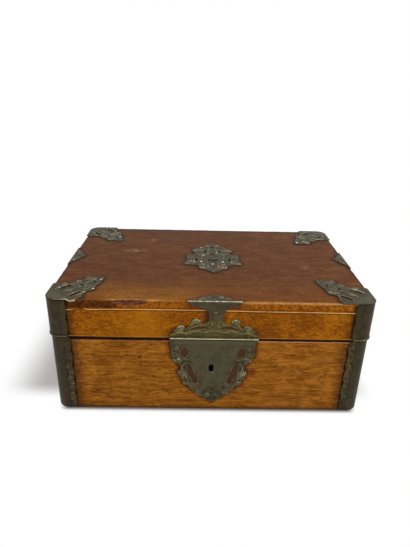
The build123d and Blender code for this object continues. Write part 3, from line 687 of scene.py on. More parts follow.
def lid_side_places(n, spot, colour):
    x, y, z = axes(n, spot)
    outward = n.size(x)
    mottle = n.between(n.cloud(spot, 0.32, 3.0, 0.7), 0.53, 0.66)
    colour = n.blend(n.times(mottle, 0.4), colour, (90, 46, 6))
    arm = outer_only(n, n.minus(82.5, n.size(y)), outward, 149)
    colour = grimy(n, spot, colour, arm, 10.0, grime, 0.6)
    colour = grimy(n, spot, colour, arm, 2.4, deep_grime_and_shade, 0.7)
    # Painted shade: a near-black band along the lid's lower edge, over the seam.
    colour = n.blend(n.between(z, 82.2, 82.9, 0.9, 0.0), colour, deep_grime_and_shade)
    return joint_line(n, spot, colour, y, z, outward, 148.9)


def board_edge_colour(n, spot, x, z):
    """The top board's front edge: lighter wood, stained on the left and dark beside the mounts."""
    mottle = n.between(n.cloud(spot, 0.3, 3.0, 0.7), 0.42, 0.6)
    colour = n.blend(n.times(mottle, 0.8), (153, 89, 10), (94, 45, 6))
    left_dark = n.between(n.times_plus(n.cloud(spot, 0.1, 2.0), 16.0, x), -80, -72, 0.95, 0.0)
    colour = n.blend(left_dark, colour, n.blend(mottle, (90, 44, 8), (48, 20, 4)))
    away_from_drop = n.minus(n.apart(x, 3.0), 22.0)
    colour = grimy(n, spot, colour, away_from_drop, 8.0, (92, 42, 8), 0.7)
    away_from_arm = n.minus(130.0, n.size(x))
    colour = grimy(n, spot, colour, away_from_arm, 4.0, (40, 18, 6), 0.8)
    return n.blend(n.between(z, 113.2, 112.2, 0.0, 0.4), colour, (80, 38, 8))


def top_places(n, spot, colour):
    x, y, z = axes(n, spot)
    drift = n.times_plus(n.cloud(spot, 0.03, 3.0), 60.0, -30.0)
    near = n.between(n.plus(y, drift), -98, -40, 0.62, 0.0)
    mottle = n.between(n.cloud(n.scaled(spot, 0.6, 1.0, 1.0), 0.5, 4.0, 0.7), 0.42, 0.6)
    colour = n.blend(n.times(near, n.between(x, 30, -30, 0.55, 0.9)), colour, (146, 86, 12))
    golden = n.times(n.between(y, -55, -98), n.between(n.size(n.plus(x, 62)), 64, 30))
    streaks = n.cloud(n.scaled(spot, 0.4, 1.0, 1.0), 0.12, 3.0)
    golden = n.times(golden, n.between(streaks, 0.35, 0.65, 0.3, 0.6))
    colour = n.blend(golden, colour, (166, 108, 32))
    broad = n.cloud(n.scaled(spot, 0.3, 1.0, 1.0), 0.11, 3.0, 0.6)
    colour = n.blend(n.between(broad, 0.52, 0.68, 0.0, 0.3), colour, (130, 84, 44))
    colour = n.blend(n.between(broad, 0.48, 0.34, 0.0, 0.3), colour, (80, 40, 22))
    colour = n.blend(n.times(mottle, 0.42), colour, (70, 30, 8))
    far = n.between(n.plus(y, drift), 40, 100, 0.0, 0.55)
    patch = n.between(n.cloud(spot, 0.018, 2.0), 0.4, 0.62)
    colour = n.blend(n.times(far, patch), colour, (66, 46, 32))
    for centre_x, centre_y, reach, share in ((-88, 22, 14, 0.8), (-66, 58, 10, 0.6), (-74, 24, 7, 0.6),
                                             (101, -19.5, 9, 0.75), (47, 14, 7, 0.4)):
        off_x = n.maths("DIVIDE", n.minus(x, float(centre_x)), float(reach))
        off_y = n.maths("DIVIDE", n.minus(y, float(centre_y)), reach * 0.6)
        away = n.plus(n.times(off_x, off_x), n.times(off_y, off_y))
        scuff = n.between(n.cloud(n.scaled(spot, 0.4, 1.0, 1.0), 0.35, 4.0, 0.7), 0.48, 0.62)
        pale = n.times(n.between(away, 0.0, 1.0, share, 0.0), scuff)
        pale = n.times(pale, n.between(z, 118, 119))
        colour = n.blend(pale, colour, (172, 134, 88))
    front_edge = n.times(n.between(y, -99.6, -100.1), n.between(z, 119.7, 119.0))
    colour = n.blend(front_edge, colour, board_edge_colour(n, spot, x, z))
    bare = n.blend(n.between(n.cloud(n.scaled(spot, 0.3, 1.0, 1.0), 0.8, 3.0), 0.42, 0.6), (108, 66, 42),
                   (72, 36, 24))
    colour = n.blend(attribute(n, "bare"), colour, bare)
    # Painted highlight along the board's rounded front arris.
    arris = n.times(attribute(n, "arris"), n.between(n.cloud(spot, 0.2, 3.0), 0.35, 0.6, 0.5, 1.0))
    colour = n.blend(arris, colour, (196, 142, 84))
    # Painted shade along the board's back and end arrises, and dirt beside the mounts.
    return n.blend(n.times(attribute(n, "grime"), 0.85), colour, (38, 26, 22))


def left_cracks(n, spot):
    """The body's front is cracked mostly in its left half."""
    return n.between(axes(n, spot)[0], -50, 0, 0.8, 0.2)


along_x, along_y = (0.06, 1.0, 1.0), (1.0, 0.06, 1.0)
body_wood = wood("body front wood", (172, 110, 34), (144, 88, 20), (114, 64, 10), (58, 24, 4), along_x, 0.0,
                 left_cracks, 0.6, extra=body_front_places)
body_side_wood = wood("body side wood", (164, 102, 32), (134, 80, 18), (98, 54, 8), (58, 24, 4), along_y,
                      31.0, 0.5, 0.5, extra=body_side_places)
lid_front_wood = wood("lid front wood", (178, 110, 8), (148, 85, 2), (112, 58, 2), (66, 30, 2),
                      (0.3, 1.0, 1.0), 77.0, 0.1, 0.25, extra=lid_front_places)
lid_side_wood = wood("lid side wood", (166, 100, 10), (138, 80, 6), (102, 54, 4), (66, 30, 2), along_y, 57.0,
                     0.1, 0.4, extra=lid_side_places)
top_wood = wood("top board wood", (116, 74, 34), (104, 61, 26), (90, 48, 18), (60, 30, 14), (0.12, 0.7, 0.7),
                11.0, 0.1, 0.12, extra=top_places, shine=0.045)
bare_tones = (146, 108, 70), (128, 90, 54), (104, 70, 40), (70, 44, 26)
inner_wood = wood("inner wood", *bare_tones, along_x, 5.0, gloss=0.6)
cross_wood = wood("cross divider wood", *bare_tones, along_y, 9.0, gloss=0.6)


def metal(name, base, tarnish, dirt, worn, bare, gloss=0.5, band_tone=None, chased=True):
    """Old sheet metal: tarnish over the base, dirt in the hollows, worn crests, and the bare colour for bare
    folds and painted glints.
    """
    material, n, shader, spot = new_material(name)
    level = attribute(n, "relief") if chased else n.between(n.cloud(spot, 0.2, 2.0), 0.3, 0.7, 0.42, 0.58)
    field = attribute(n, "field") if chased else 0.0
    age = n.add("Group", {"node_tree": aged_metal}, Spot=spot, Relief=level, Field=field).outputs
    colour = n.blend(n.between(age["Tarnish"], 0.4, 0.6), base, tarnish)
    if band_tone:
        patches = n.between(n.cloud(spot, 0.16, 3.0, 0.6), 0.4, 0.6, 0.25, 1.0)
        colour = n.blend(n.times(field, patches, 0.8), colour, band_tone)
    colour = n.blend(n.times(age["Dirt"], 0.85), colour, dirt)
    colour = n.blend(n.times(age["Worn"], 0.75), colour, worn)
    colour = n.blend(age["Bare and glint"], colour, bare)
    n.feed(shader.inputs["Base Color"], colour)
    n.feed(shader.inputs["Metallic"], n.between(age["Dirt"], 0.0, 1.0, 0.6, 0.1))
    n.feed(shader.inputs["Roughness"], n.between(age["Worn"], 0.0, 1.0, gloss, gloss - 0.12))
    shader.inputs["Specular IOR Level"].default_value = 0.12
    bump = n.add("Bump", Strength=0.6, Distance=chasing_depth, Height=age["Height"])
    n.feed(shader.inputs["Normal"], bump.outputs[0])
    return material


patina = metal("engraved plate patina", (76, 70, 51), (62, 56, 40), (28, 22, 12), (124, 116, 86),
               (226, 216, 188), band_tone=(74, 66, 38))
shield_patina = metal("shield patina", (80, 74, 55), (70, 64, 46), (28, 22, 12), (112, 104, 72),
                      (214, 204, 172), band_tone=(66, 58, 32))
lock_patina = metal("lock mount patina", (82, 74, 48), (66, 58, 36), (38, 26, 14), (140, 130, 90),
                    (228, 214, 180), band_tone=(96, 88, 42))
corner_patina = metal("corner sheet patina", (64, 56, 40), (52, 45, 31), (26, 19, 10), (108, 96, 60),
                      (190, 176, 136), band_tone=(72, 60, 30))
nail_brass = metal("worn nail brass", (112, 104, 82), (92, 84, 64), (50, 42, 30), (200, 192, 164),
                   (232, 224, 200), 0.36)
lock_iron = metal("old lock iron", (92, 86, 80), (70, 60, 52), (42, 32, 26), (130, 126, 120), (150, 146, 140),
                  chased=False)


def dress(name, material):
    """Give a carried-over node its material."""
    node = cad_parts[name]
    if node.material_slots:
        for place in node.material_slots:
            place.material = material
    else:
        node.data.materials.append(material)


for names, material in (
    (("front_board", "back_board"), body_wood),
    (("left_board", "right_board"), body_side_wood),
    (("lid_front_rail", "lid_back_rail"), lid_front_wood),
    (("lid_left_rail", "lid_right_rail"), lid_side_wood),
    (("bottom_board", "long_divider"), inner_wood),
    (("left_cross_divider", "right_cross_divider", "back_cross_divider"), cross_wood),
    (("lock_plate", "lock_case", "key_pin", "lock_stumps", "lock_spring", "lock_bolt", "staple_plate",
      "lower_hinge_leaf_left", "lower_hinge_leaf_right", "upper_hinge_leaf_left", "upper_hinge_leaf_right",
      "hinge_pin_left", "hinge_pin_right"), lock_iron),
):
    for name in names:
        dress(name, material)


def finish_piece(piece, material, body, replaced=None):
    piece.data.materials.append(material)
    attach(piece, body)
    if replaced:
        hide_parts(replaced)


# ---- Pierced mounts ----
def engraved(curls, seed, width=0.85, plain=None, highlight_lines=()):
    """Rise and relief of a chased plate: scrolls and rims stand up, the ground is sunk and uneven. The
    highlight lines get the brightest relief, a painted highlight.
    """
    def height(points, edge, hole):
        up = raised(points, curls, width)
        rim = np.maximum(0.85 * bell(edge, 1.0, 0.5), bell(hole, 0.8, 0.45))
        uneven = fractal(points, 2.0, seed, 2)
        strength = 0.56 + 0.3 * fractal(points, 8.0, seed + 7, 2)
        relief = 0.32 + strength * np.maximum(up, 0.95 * rim) + 0.12 * uneven
        field = np.ones(len(points))
        if plain is not None:
            flat = plain(points)
            relief = relief * (1 - flat) + flat * (0.52 + 0.03 * uneven)
            relief = np.maximum(relief, 0.8 * rim * strength / 0.56)
            field = 1 - flat
        spread = 1.28 + 0.3 * fractal(points, 3.0, seed + 9, 2)
        # Painted highlight along the given lines.
        relief = np.maximum(relief, spread * raised(points, highlight_lines, 0.6))
        dents = 0.06 * fractal(points, 14.0, seed + 3, 2)
        return 0.52 + 0.4 * np.clip(relief, 0, 1.1) + dents, relief, field
    return height


leaf_points = ((0, 33), (8, 34.5), (15, 34), (18.5, 37), (26.5, 41.5), (27.5, 49), (36, 48.2), (45.5, 49.5),
               (44.5, 40), (42.4, 31.5), (41.6, 24.5), (37.6, 18.5), (34, 14.5), (34.2, 7.5), (32.4, 0))
leaf_bulges = (0.8, 0.8, -0.8, 1.4, -0.9, 1.1, 1.1, 1.2, 0.8, -0.6, 1.2, -0.6, -0.5, 0.6)
turned_leaf_points = leaf_points[:-2] + ((33.2, 6.5), (28.2, 0))
leaf_holes = [slot_hole(26.5, 11.5, 12, 3.6, 45), slot_hole(13.5, 25.5, 12, 3.6, 45),
              round_hole(38, 39, 1.7), round_hole(28, 30, 1.9)]
leaf_curls = lobe_curls(leaf_points, leaf_bulges)
leaf_curls += [run(((15, 14), (22, 22), (31, 34), (39, 44)), (1.0, -1.5, 1.0)),
               run(((19, 5), (26, 6.5), (33, 16)), (0.6, -1.2)),
               run(((6, 20), (8, 25), (17, 32)), (0.6, -1.2))]
leaf_curls += [curl(*spiral) for spiral in (
    ((35, 28.5), 3.6, 2.0, 1.4), ((20.5, 31.5), 3.0, 0.5, -1.3), ((35, 44), 3.2, 4.0, 1.3),
    ((20, 18), 3.0, 0.8, 1.3), ((33, 21), 2.6, 3.0, -1.2), ((31, 44.5), 2.4, 1.0, -1.2))]
slot_lines = [run(((22.9, 7.9), (30.1, 15.1)), (0,)), run(((9.9, 21.9), (17.1, 29.1)), (0,))]


def corner_plain(points):
    """The leaf's outer corner is plain sheet."""
    return smoothstep(points[:, 0] + points[:, 1], 27, 19)


for number, (side_x, side_y, corner) in enumerate(corners):
    def on_corner(p, q, rise, side_x=side_x, side_y=side_y):
        z = top_level + np.clip(rise, 0, sheet_thickness)
        if side_x + side_y == -2:
            z = z - 1.7 * smoothstep(p, 20.2, 24.0) * smoothstep(q, 1.5, 0.2)
        return np.stack([side_x * (mount_half_x - p), side_y * (mount_half_y - q), z], -1)

    turned = corner == "front_left"
    points = turned_leaf_points if turned else leaf_points
    leaf_outer = np.vstack([run(points, leaf_bulges, 0.7), arc(points[-1], (11, 0), 0)[1:],
                            arc((11, 0), (0, 11), 11 * (1 - math.sqrt(0.5))), arc((0, 11), (0, 33), 0)])
    # Painted highlight along each slot's upper rim, where it catches the light.
    highlight_lines = [line + (side_y * 1.75, -side_y * 1.75) for line in slot_lines]
    # Painted highlight along the front-left leaf's front edge.
    if turned:
        highlight_lines.append(run(((16, 0.9), (20, 0.7), (28.4, 0.6)), (0, 0)))
    leaf = sheet("engraved_leaf_" + corner, leaf_outer, leaf_holes,
                 engraved(leaf_curls, 3 + number, plain=corner_plain, highlight_lines=highlight_lines), on_corner)
    # Painted highlight: the front-left leaf's front wall is given bright relief.
    if turned:
        for vertex, value in zip(leaf.data.vertices, leaf.data.attributes["relief"].data):
            if vertex.co.y < -0.1016 and -0.147 < vertex.co.x < -0.119 and value.value > 0.31:
                value.value = 0.8 + 0.3 * float(smoothstep(vertex.co.x, -0.135, -0.13))
    finish_piece(leaf, patina, "lid", "top_corner_leaf_" + corner)

cartouche_points = ((0, 47), (8, 41), (17, 31.5), (22, 25.5), (22, 20.5), (19, 14.5), (27.8, 12),
                    (28, -2), (30.3, -12.4), (27.5, -17.6), (14.6, -19.6), (14.4, -25.4), (11.5, -29),
                    (8, -30), (0, -37))
cartouche_bulges = (0.8, -0.5, 1.2, 1.0, -0.8, -1.6, 0.6, -0.8, 1.6, -1.0, 1.2, 1.0, -0.4, 0.8)
upper_pair = leaf_hole((7.6, 25), (7.6, 18.4), 2.0, -1.6)
lower_pair = leaf_hole((18.4, 1.5), (17, -9.5), 1.6, -1.6)
cartouche_holes = [slot_hole(0, -4.6, 11.5, 5.2, 0), round_hole(0, 34.5, 2.0), round_hole(0, 13.6, 2.6),
                   upper_pair, mirrored(upper_pair), lower_pair, mirrored(lower_pair)]
half_curls = lobe_curls(cartouche_points, cartouche_bulges)
half_curls += [run(((3, 30), (4.5, 17), (10, 10), (12, -2)), (1.0, -1.4, 1.0)),
               run(((0, -34), (4, -28), (5, -15), (13, -11)), (0.6, -1.0, 1.2))]
half_curls += [curl(*spiral) for spiral in (
    ((14, 24), 3.8, 0.3, 1.4), ((23, 4), 3.6, 2.2, -1.3), ((22.6, -11), 4.0, 1.0, 1.4),
    ((7.4, -24), 3.6, 2.5, -1.3), ((12, 12), 3.4, 4.0, 1.3), ((13.6, 33), 2.4, 2.0, 1.2),
    ((11.6, -17), 2.6, 1.0, 1.2), ((5.6, 39), 2.4, 3.0, 1.2))]



def on_top(u, v, rise):
    return np.stack([cartouche_x + u, v, top_level + np.clip(rise, 0, sheet_thickness)], -1)


cartouche_outline = both_sides(cartouche_points, cartouche_bulges)
cartouche = sheet("engraved_cartouche", cartouche_outline, cartouche_holes,
                  engraved(both(half_curls), 21), on_top)
finish_piece(cartouche, patina, "lid", "top_cartouche")

# Edge mounts, drawn flat with the fold at v = 0
fold_radius = 0.8
fold_half = fold_radius * math.pi / 4
edge_points = ((0, 13.8), (4, 11.8), (9, 8.8), (15, 4.6), (23, 2.0), (26, 0),
               (22.5, -1.4), (20.6, -5.2), (11.4, -6.6), (7.2, -9.6), (0, -12.8))
edge_bulges = (0.4, -0.7, 0.9, -0.9, 0, 0, 0.7, -1.2, 0.7, 1.0)
edge_curls = lobe_curls(edge_points, edge_bulges, 0.8)
edge_curls += [curl((6, 7), 2.4, 0.5, 1.2), curl((13.5, 3.4), 1.4, 0.5, 1.1)]
edge_curls = both(edge_curls)
# Painted highlights along the fold line and on the drop's nub.
fold_line = run(((-25, 0.1), (0, 0.1), (25, 0.1)), (0, 0))
drop_nub = run(((-1.2, -10.6), (1.2, -10.6)), (0,))


def folded(v, rise):
    """Way out from the board and up from its top, for a sheet folded over the upper edge."""
    turn = np.clip((v + fold_half) / (2 * fold_half), 0, 1) * math.pi / 2
    out = np.cos(turn) * (fold_radius + rise) - np.clip(v - fold_half, 0, None)
    up = np.sin(turn) * (fold_radius + rise) + np.clip(v + fold_half, None, 0)
    return out - fold_radius, up - fold_radius


def edge_plain(points):
    return smoothstep(points[:, 1], 3.2, 1.6)


def on_front_edge(u, v, rise):
    out, up = folded(v, np.clip(rise, 0, sheet_thickness))
    x = front_mount_x + edge_mount_shift + u + 0.8 * smoothstep(-v, 1, 9)
    return np.stack([x, -(lid_half_y + out), top_level + up], -1)


edge_outer = both_sides(edge_points, edge_bulges)
front_edge = sheet("folded_front_mount", edge_outer, [],
                   engraved(edge_curls, 31, plain=edge_plain, highlight_lines=[fold_line, drop_nub]), on_front_edge)
finish_piece(front_edge, patina, "lid", "front_edge_mount")
for side, name in ((-1, "left"), (1, "right")):
    def on_side_edge(u, v, rise, side=side):
        v = np.where(v > 0, v * (0.8 if side > 0 else 0.9), v)
        u = u * (0.88 if side > 0 else 0.95)
        out, up = folded(v, np.clip(rise, 0, sheet_thickness))
        return np.stack([side * (lid_half_x + out), side_mount_y + side * u, top_level + up], -1)

    side_edge = sheet("folded_" + name + "_mount", edge_outer, [],
                      engraved(edge_curls, 33 + side, plain=edge_plain, highlight_lines=[drop_nub]), on_side_edge)
    finish_piece(side_edge, patina, "lid", name + "_edge_mount")

# Lock mount on the lid, with its rolled lip over the seam
lid_lock_points = ((0, 106.9), (7.2, 110.1), (7.0, 101), (9.6, 98.2), (14, 99), (18, 102.4), (22.5, 98),
                   (26.6, 93.4), (30.6, 95.7), (35, 92.6), (37.5, 89), (40.2, 86.5), (41, 81.1))
lid_lock_bulges = (-1.0, -0.4, -0.8, -1.0, 1.7, 2.2, -1.0, 1.2, 1.4, 0.6, -0.5, 0.5)
crescent = leaf_hole((3.6, 92.6), (22.8, 90.6), 3.4, 0.9)
lock_curls = lobe_curls(lid_lock_points, lid_lock_bulges)
lock_curls += [curl((31.5, 90.4), 2.8, 0.0, -1.3), curl((12.2, 96.2), 1.8, 0.0, 1.2),
               run(((24.5, 96), (29.5, 91.5), (36, 87)), (0.8, -0.8)), run(((28, 95.4), (33, 92)), (0.8,)),
               run(((2, 104), (3.4, 100), (3.2, 96)), (0.5, -0.5))]
lock_curls = both(lock_curls)
wave = both([run(((0, 90.6), (7, 89.4), (14, 90), (22, 88.3), (30, 88.2), (38, 85)),
                 (0.5, -0.6, 0.7, -0.5, 0.8))])
scroll_tops = both([run(((14.6, 100.4), (18.2, 102.0), (21.6, 99.2)), (0.6, 0.7)),
                    run(((28.0, 94.6), (30.8, 95.2), (33.6, 93.2)), (0.3, 0.4))])
lip_middle, lip_half, lip_rise, lip_most = 81.9, 0.85, 0.78, 1.79
column_lean = 1.3


def column_plain(points):
    return smoothstep(points[:, 1], 99, 101) * smoothstep(np.abs(points[:, 0]), 9, 7)


def lock_mount_height(points, edge, hole):
    rise, relief, field = engraved(lock_curls + wave, 41, 0.8, column_plain)(points, edge, hole)
    relief = 0.42 + 0.7 * (relief - 0.42)
    # Painted highlight on the scrolls' upper edges.
    relief = np.maximum(relief, 1.06 * raised(points, scroll_tops, 0.7))
    relief = np.maximum(relief, 0.95 * raised(points, wave, 0.7))
    lip = np.sqrt(np.clip(1 - ((points[:, 1] - lip_middle) / lip_half) ** 2, 0, 1))
    groove = bell(points[:, 1], 83.8, 0.5) * (lip < 0.05)
    rise = np.maximum(rise - 0.1 * groove, sheet_thickness * (lip > 0)) + lip_rise * lip
    # The rolled lip gets the brightest relief: wear and a painted highlight where it catches the light.
    lip_wear_and_highlight = (1.42 + 0.25 * fractal(points, 5.0, 45, 2)) * lip
    return rise, np.maximum(relief - 0.3 * groove, lip_wear_and_highlight), field * (1 - lip)


def on_lid_front(u, v, rise):
    x = front_mount_x + edge_mount_shift + u + column_lean * smoothstep(v, 95, 101)
    return np.stack([x, -(lid_half_y + np.clip(rise, 0, lip_most)), v], -1)


lock_mount = sheet("scrolled_lock_mount", both_sides(lid_lock_points, lid_lock_bulges),
                   [crescent, mirrored(crescent)], lock_mount_height, on_lid_front, pitch=0.5, rim=0.35)
finish_piece(lock_mount, lock_patina, "lid", "lid_lock_mount")

# Escutcheon
escutcheon_points = ((41, 81.3), (39.2, 67), (38.0, 60), (34.2, 54), (30.3, 50), (33.2, 45.2), (31.4, 40),
                     (28.6, 34), (26.6, 28.8), (21.5, 26), (18, 21.2), (13.5, 16.6), (7.5, 12.8), (0, 8.6))
escutcheon_bulges = (0, 0.8, 1.4, -0.6, -1.0, 0.8, 0.7, 1.1, -0.8, 0.9, 0.8, -0.7, 0.8)
upper_eye = leaf_hole((26.5, 71), (26, 60.8), 4.0, -2.8)
lower_eye = run(((24.4, 54), (23.6, 47), (22.4, 40), (18.6, 31.6), (14.2, 33), (17.6, 41), (20.6, 51)),
                (-0.4, 0.4, -1.2, 1.2, 0.8, 0.5), 0.7)
diamond = np.array([(2.4, 24.5), (0, 26.9), (-2.4, 24.5), (0, 22.1)], float)
keyhole = slot_hole(lock_x - front_mount_x, 48.9, 8.2, 4.4, 90)
escutcheon_curls = lobe_curls(escutcheon_points, escutcheon_bulges)
escutcheon_curls += [curl((29.4, 42.6), 3.0, 1.0, -1.4), curl((33, 57), 3.2, 2.0, 1.3),
                     curl((23.4, 29.6), 2.6, 2.0, 1.3), curl((12, 21.6), 3.2, 1.0, -1.4),
                     curl((5.2, 17.4), 2.6, 2.0, 1.3), curl((34.8, 71), 2.6, 2.0, 1.3),
                     run(((26, 54), (28.6, 47), (25.4, 37)), (1.2, -1.2)), curl((19, 25.4), 2.6, 4.0, 1.2),
                     run(((20, 28), (14, 27.4), (7, 30)), (0.8, -0.8)), curl((7.4, 25.8), 2.6, 0.0, 1.3)]
escutcheon_curls = both(escutcheon_curls)
under_eyes = [run(((20.6, 60.6), (26.5, 58.4), (32.4, 62.0)), (-1.2, -1.2)),
              run(((25.5, 43.5), (22.4, 34.5)), (0.8,)),
              run(((20.6, 28.8), (17, 29.2), (12.6, 31.6)), (0.4, 0.5))]
under_eyes = both(under_eyes)


def shield_plain(points):
    """The shield's middle is plain, down to the chased foot."""
    u, v = np.abs(points[:, 0]), points[:, 1]
    half = np.interp(v, (27, 32, 46, 55, 62, 72, 76), (4, 11, 16, 20.5, 21, 31, 39))
    return smoothstep(u, half + 1.0, half - 1.0) * smoothstep(v, 26.5, 29.5)


def escutcheon_height(points, edge, hole):
    rise, relief, field = engraved(escutcheon_curls, 51, plain=shield_plain)(points, edge, hole)
    u, v = points[:, 0], points[:, 1]
    relief = np.maximum(relief, raised(points, under_eyes, 0.6))
    relief = relief - 0.4 * smoothstep(v, 34, 26) * np.clip(relief - 0.5, 0, None)
    lines = bell(v + 0.01 * u, 77.9, 0.3) + 0.6 * bell(v, 76.0, 0.28)
    lines *= smoothstep(np.abs(u), 38, 36)
    mark = bell(np.hypot(u - 0.3, v - 41), 2.8, 0.32)
    glint = bell(u, 0.2, 1.4) * bell(v, 43.6, 0.5)
    spots = [(15, 61.0), (-15, 61.0), (8, 72.0), (-0.6, 59.5), (0.6, 32.3)]
    dents = sum(np.exp(-(((u - a) ** 2 + (v - b) ** 2) / 0.9)) for a, b in spots)
    shade = smoothstep(v, 79.0, 80.2)
    relief = relief + 0.45 * lines + 0.22 * mark + 0.5 * glint - 0.4 * dents - 0.6 * shade
    return rise + 0.1 * lines + 0.08 * mark - 0.22 * dents, np.clip(relief, 0, 1.2), field


def on_body_front(u, v, rise):
    return np.stack([front_mount_x + u, -(body_half_y + rise), v], -1)


escutcheon = sheet("engraved_escutcheon", both_sides(escutcheon_points, escutcheon_bulges),
                   [upper_eye, mirrored(upper_eye), lower_eye, mirrored(lower_eye), diamond, keyhole],
                   escutcheon_height, on_body_front, pitch=0.6)
finish_piece(escutcheon, shield_patina, "carcase", "lock_escutcheon")


# ---- Corner mounts ----
bevel_slope = math.tan(math.radians(50))


def corner_sheet(name, half_x, half_y, radius, low, high, lobes, side_x, side_y, seed, has_lip,
                 worn_middle=0.0):
    """Sheet bent round one upright corner, with a wavy chased band along both inner edges."""
    straight = mount_arm - sheet_thickness - radius
    total = 2 * straight + radius * math.pi / 2
    count_s, count_z = 60, round((high - low) / 0.62)
    T, Z = np.meshgrid(np.linspace(0, 1, count_s), np.linspace(low, high, count_z))
    wave = 1.3 * (1 - np.abs(np.sin(math.pi * lobes * (Z - low) / (high - low))))
    ragged = 0.25 * fractal(np.stack([Z.ravel(), Z.ravel() * 0], -1), 5.0, seed).reshape(Z.shape)
    cut = wave + ragged + 0.25
    S = cut + T * (total - 2 * cut)
    turn = np.clip((S - straight) / radius, 0, math.pi / 2)
    past = np.clip(S - straight - radius * math.pi / 2, 0, None)
    before = np.clip(straight - S, 0, None)
    edge_s = np.minimum(S - cut, total - cut - S)
    near = np.minimum(edge_s, np.minimum(Z - low, high - Z))
    fall = half_round(near / 0.6)
    flat = np.stack([edge_s.ravel() + np.where(T.ravel() > 0.5, 40, 0), Z.ravel()], -1)
    climb, repeat = np.linspace(low, high, 90), 6.2
    stems = [np.stack([3.1 + 1.1 * np.sin(climb * math.pi / repeat), climb], -1)]
    for number, z in enumerate(np.arange(low + 4, high - 2, repeat)):
        stems.append(curl((3.1 - 1.2 * (-1) ** number, z), 1.9, number * 1.3, 1.3 * (-1) ** number))
    up = raised(np.stack([edge_s.ravel(), Z.ravel()], -1), stems, 0.75).reshape(Z.shape)
    rim = bell(edge_s, 0.7, 0.4)
    uneven = fractal(flat, 3.2, seed).reshape(Z.shape)
    broad = fractal(flat, 16.0, seed + 5, 2).reshape(Z.shape)
    field = smoothstep(edge_s, 6.4, 5.2) * (0.45 if has_lip else 1.0)
    strength = 0.4 + 0.4 * fractal(flat, 9.0, seed + 2, 2).reshape(Z.shape)
    strength *= 0.35 if has_lip else smoothstep(np.abs(Z - worn_middle), 40, 26) * 0.85 + 0.15
    inner_line = bell(edge_s, 6.4, 0.5)
    chased = np.clip(0.34 + strength * np.maximum(up, 1.2 * rim) + 0.22 * uneven, 0, 1)
    relief = (0.5 + 0.1 * uneven) * (1 - field) + field * chased - 0.3 * inner_line
    rise = 0.74 + 0.07 * broad + field * 0.26 * (np.maximum(up, rim) - 0.5)
    shade = smoothstep(Z, high - 1.6, high - 0.4) if has_lip else smoothstep(Z, high - 1.2, high - 0.2)
    relief = relief - 0.7 * shade
    if has_lip:
        lip = np.sqrt(np.clip(1 - ((Z - low - 0.85) / 0.85) ** 2, 0, 1))
        if side_y > 0:
            lip = lip * smoothstep(past, 1.0, 4.0)
        rise = np.maximum(rise, 0.95 * (lip > 0)) + 0.5 * lip
        groove = bell(Z - low, 2.5, 0.5)
        # The lip's bright relief is wear and a painted highlight where it catches the light.
        relief = np.maximum(relief - 0.4 * groove, lip + 0.14 * uneven)
        field = field * (1 - lip)
    rise = np.minimum(rise, 1.78) * (0.3 + 0.7 * fall)

    def at(h):
        x = half_x - radius + np.sin(turn) * (radius + h) - before
        y = half_y - radius + np.cos(turn) * (radius + h) - past
        return np.stack([side_x * x, side_y * y, Z], -1).reshape(-1, 3)

    index = np.arange(count_s * count_z).reshape(count_z, count_s)
    base = count_s * count_z
    quads = np.stack([index[:-1, :-1], index[:-1, 1:], index[1:, 1:], index[1:, :-1]], -1).reshape(-1, 4)
    faces = quads.tolist() + (quads[:, ::-1] + base).tolist()
    border = np.concatenate([index[0, :-1], index[:-1, -1], index[-1, ::-1][:-1], index[::-1, 0][:-1]])
    for a, b in zip(border, np.roll(border, -1)):
        faces.append((int(b), int(a), int(a) + base, int(b) + base))
    vertices = np.vstack([at(rise), at(np.zeros_like(rise))])
    if side_y > 0:
        cut = np.clip(vertices[:, 1] - 97, 0, None) * bevel_slope
        share = (high - vertices[:, 2]) / (high - low)
        vertices[:, 2] += cut * share if has_lip else -cut * (1 - share)
    return make_object(name, vertices, faces, engraving(relief, field, base))


for number, (side_x, side_y, corner) in enumerate(corners):
    body_mount = corner_sheet("body_corner_sheet_" + corner, body_half_x, body_half_y, body_radius, 0.6, 81.3,
                              5, side_x, side_y, 61 + number, False, 16.0 if side_x < 0 else 46.0)
    finish_piece(body_mount, corner_patina, "carcase", "body_corner_mount_" + corner)
    lid_mount = corner_sheet("lid_corner_sheet_" + corner, lid_half_x, lid_half_y, lid_radius,
                             81.5 if side_y < 0 else 82.7, 119.95,
                             2, side_x, side_y, 71 + number, True)
    finish_piece(lid_mount, corner_patina, "lid", "lid_corner_mount_" + corner)


# ---- Top board with its worn front edge ----
board_half_x, board_half_y = 149.0, 100.6
chip_middle, chip_half, chip_most, chip_limit = -73.5, 17.0, 2.9, 3.2


def rounded_edge(inset):
    """Points round the top board, the same number whatever the inset."""
    hx, hy, r = board_half_x - inset, board_half_y - inset, lid_radius - inset
    turns = ((hx - r, -hy + r, -90), (hx - r, hy - r, 0), (-hx + r, hy - r, 90), (-hx + r, -hy + r, 180))
    along = np.linspace(0, 1, 281)[1:-1, None]
    points = []
    for number, (cx, cy, first) in enumerate(turns):
        angles = np.radians(first + np.linspace(0, 90, 9))
        turn = np.stack([cx + r * np.cos(angles), cy + r * np.sin(angles)], -1)
        nx, ny, nfirst = turns[(number + 1) % 4]
        start = turn[-1]
        a = math.radians(nfirst)
        stop = np.array([nx + r * math.cos(a), ny + r * math.sin(a)])
        points += [turn, start + (stop - start) * along]
    return np.vstack(points)


